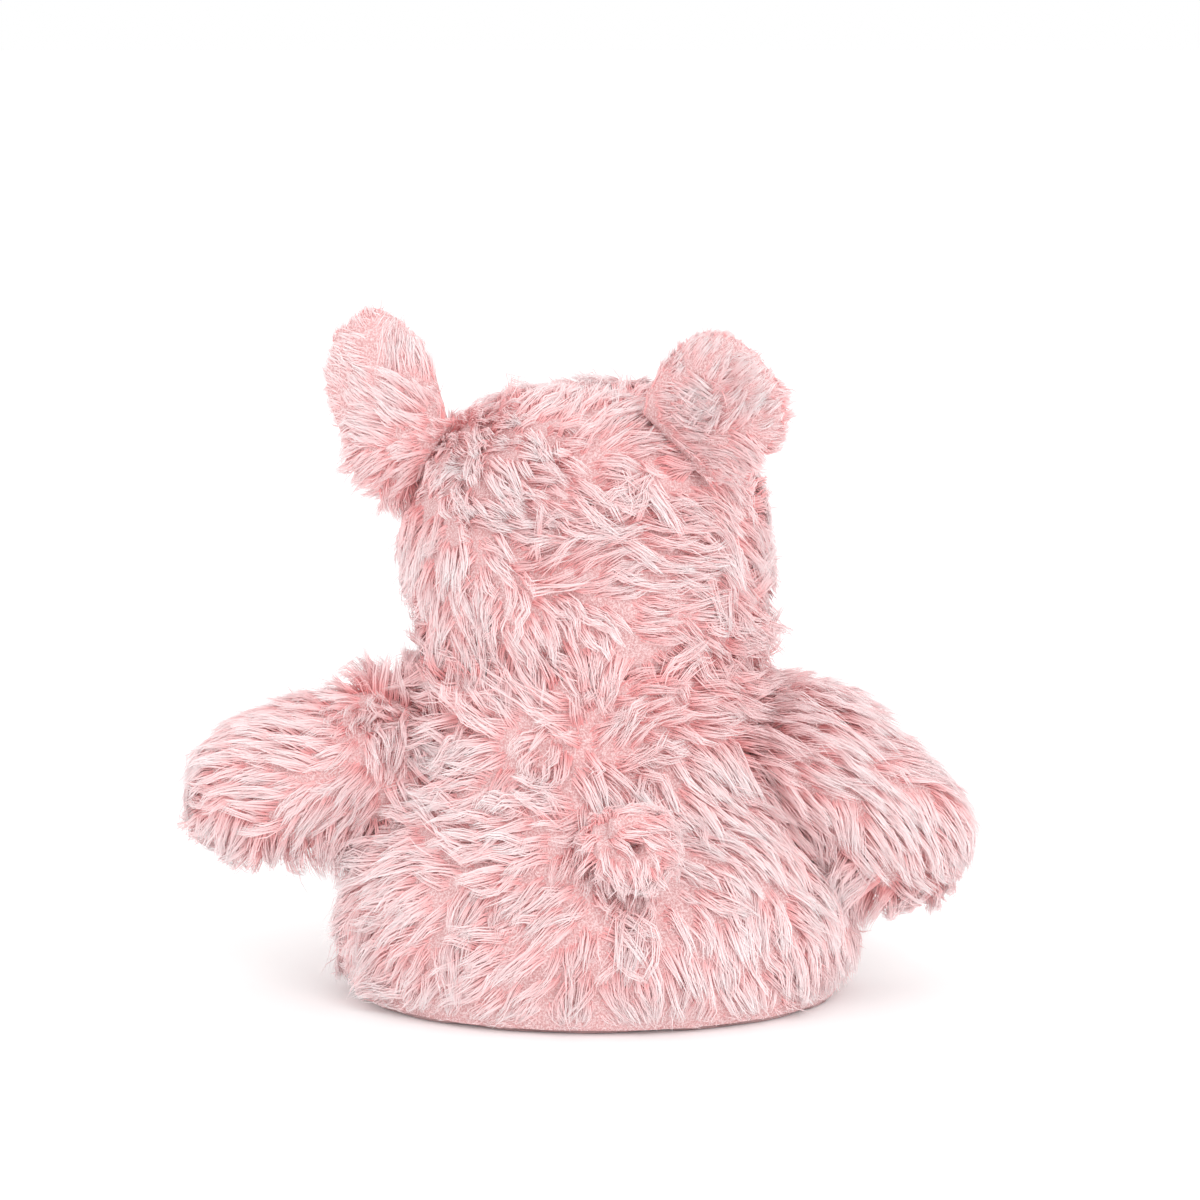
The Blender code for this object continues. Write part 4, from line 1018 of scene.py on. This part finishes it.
class PLUSH_OT_eyes(bpy.types.Operator):
    """Polish the eyes and finish the washers behind them"""

    bl_idname = "plush.eyes"
    bl_label = "Eyes"

    def execute(self, context):
        eye, washer = eye_material(context.scene.pig_eyes), washer_material()
        for side in SIDES:
            repaint(f"eye_{side}", eye)
            repaint(f"eye_washer_{side}", washer)
        return {"FINISHED"}


class PLUSH_OT_filling(bpy.types.Operator):
    """Finish the filling, the pellets, their pouch and the neck seam"""

    bl_idname = "plush.filling"
    bl_label = "Filling"

    def execute(self, context):
        cloth = context.scene.pig_cloth
        filling, lining = stuffing_material(cloth), woven_material("Lining weave", (0.80, 0.79, 0.77), 3000.0)
        seam, pellets = woven_material("Seam cloth", cloth.base_color, 2200.0), pellet_material()
        for node in frame["nodes"]:
            if "stuffing" in node:
                repaint(node, filling)
        for node, material in (("pellet_pouch_bottom", lining), ("pellet_pouch_top", lining),
                               ("pellet_fill", pellets), ("neck_seam_ring", seam)):
            repaint(node, material)
        return {"FINISHED"}


class PLUSH_OT_stage(bpy.types.Operator):
    """Set the floor, the lamps and the camera of the photograph"""

    bl_idname = "plush.stage"
    bl_label = "Stage"

    def execute(self, context):
        stage = context.scene.pig_stage
        lay_floor(stage)
        even_sky(stage)
        soft_lamp("Key lamp", (-0.9, 1.8, 1.1), 1.1, stage.key_power)
        soft_lamp("Fill lamp", (1.3, 1.6, 0.6), 1.2, stage.fill_power)
        place_camera(context.scene)
        context.scene.view_settings.view_transform = "Standard"
        return {"FINISHED"}


def repaint(node, material):
    """Gives a node that stays in the scene another material."""
    for slot in frame["nodes"][node].material_slots:
        slot.link = "OBJECT"
        slot.material = material


def lay_floor(stage):
    shape = bmesh.new()
    bmesh.ops.create_grid(shape, x_segments=1, y_segments=1, size=6.0)
    shader = Shader("Floor", stage.floor_color, 0.9, Emission_Strength=0.06)
    shader.color(shader.mix(shader.noise(6.0) * 0.02, stage.floor_color, (1.0, 1.0, 1.0)))
    seen = shader.node("ShaderNodeLightPath", output="Is Camera Ray")
    shader.put(shader.surface.inputs["Emission Color"], shader.mix(seen, (0.0, 0.0, 0.0), (1.0, 1.0, 1.0)))
    floor = new_piece("floor", shape, shader.material)


def even_sky(stage):
    world = bpy.data.worlds.new("Studio")
    bpy.context.scene.world = world
    world.use_nodes = True
    tree = world.node_tree
    tree.nodes.clear()
    kinds = ("ShaderNodeLightPath", "ShaderNodeBackground", "ShaderNodeBackground", "ShaderNodeMixShader",
             "ShaderNodeOutputWorld")
    path, soft, white, choose, out = (tree.nodes.new(kind) for kind in kinds)
    soft.inputs["Color"].default_value = (1.0, 1.0, 1.0, 1.0)
    soft.inputs["Strength"].default_value = stage.sky_level
    white.inputs["Color"].default_value = (1.0, 1.0, 1.0, 1.0)
    tree.links.new(path.outputs["Is Camera Ray"], choose.inputs[0])
    tree.links.new(soft.outputs[0], choose.inputs[1])
    tree.links.new(white.outputs[0], choose.inputs[2])
    tree.links.new(choose.outputs[0], out.inputs["Surface"])


def soft_lamp(name, place, size, power):
    data = bpy.data.lights.new(name, "AREA")
    data.shape, data.size, data.energy = "DISK", size, power
    lamp = bpy.data.objects.new(name, data)
    bpy.context.scene.collection.objects.link(lamp)
    lamp.location = place
    lamp.rotation_euler = (Vector(place) - Vector((0.0, 0.0, 0.11))).to_track_quat("Z", "Y").to_euler()
    return lamp


def place_camera(scene):
    data = bpy.data.cameras.new("Camera")
    data.sensor_width = SENSOR_WIDTH
    data.lens = SENSOR_WIDTH * CAMERA_DISTANCE / PICTURE_WIDTH
    camera = bpy.data.objects.new("Camera", data)
    scene.collection.objects.link(camera)
    camera.location = Vector(CAMERA_AIM + TOWARDS_CAMERA * CAMERA_DISTANCE)
    camera.rotation_euler = Vector(TOWARDS_CAMERA).to_track_quat("Z", "Y").to_euler()
    scene.camera = camera


STEPS = (PLUSH_OT_torso, PLUSH_OT_head, PLUSH_OT_ears, PLUSH_OT_arms, PLUSH_OT_legs, PLUSH_OT_tail, PLUSH_OT_snout,
         PLUSH_OT_base, PLUSH_OT_eyes, PLUSH_OT_filling, PLUSH_OT_stage)


class PLUSH_PT_panel(bpy.types.Panel):
    bl_label = "Plush Pig"
    bl_idname = "PLUSH_PT_panel"
    bl_space_type = "VIEW_3D"
    bl_region_type = "UI"
    bl_category = "Plush Pig"

    def draw(self, context):
        for step in STEPS:
            self.layout.operator(step.bl_idname)
        for group in SETTINGS:
            for name in group[1].__annotations__:
                self.layout.prop(getattr(context.scene, group[0]), name)


SETTINGS = (("pig_pile", PileSettings), ("pig_cloth", ClothSettings), ("pig_eyes", EyeSettings),
            ("pig_stage", StageSettings))


def register():
    for name, group in SETTINGS:
        bpy.utils.register_class(group)
        setattr(bpy.types.Scene, name, PointerProperty(type=group))
    for step in (*STEPS, PLUSH_PT_panel):
        bpy.utils.register_class(step)


def unregister():
    for step in reversed((*STEPS, PLUSH_PT_panel)):
        bpy.utils.unregister_class(step)
    for name, group in reversed(SETTINGS):
        delattr(bpy.types.Scene, name)
        bpy.utils.unregister_class(group)


def main():
    register()
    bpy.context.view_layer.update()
    for step in STEPS:
        group, name = step.bl_idname.split(".")
        getattr(getattr(bpy.ops, group), name)()


if __name__ == "__main__":
    main()
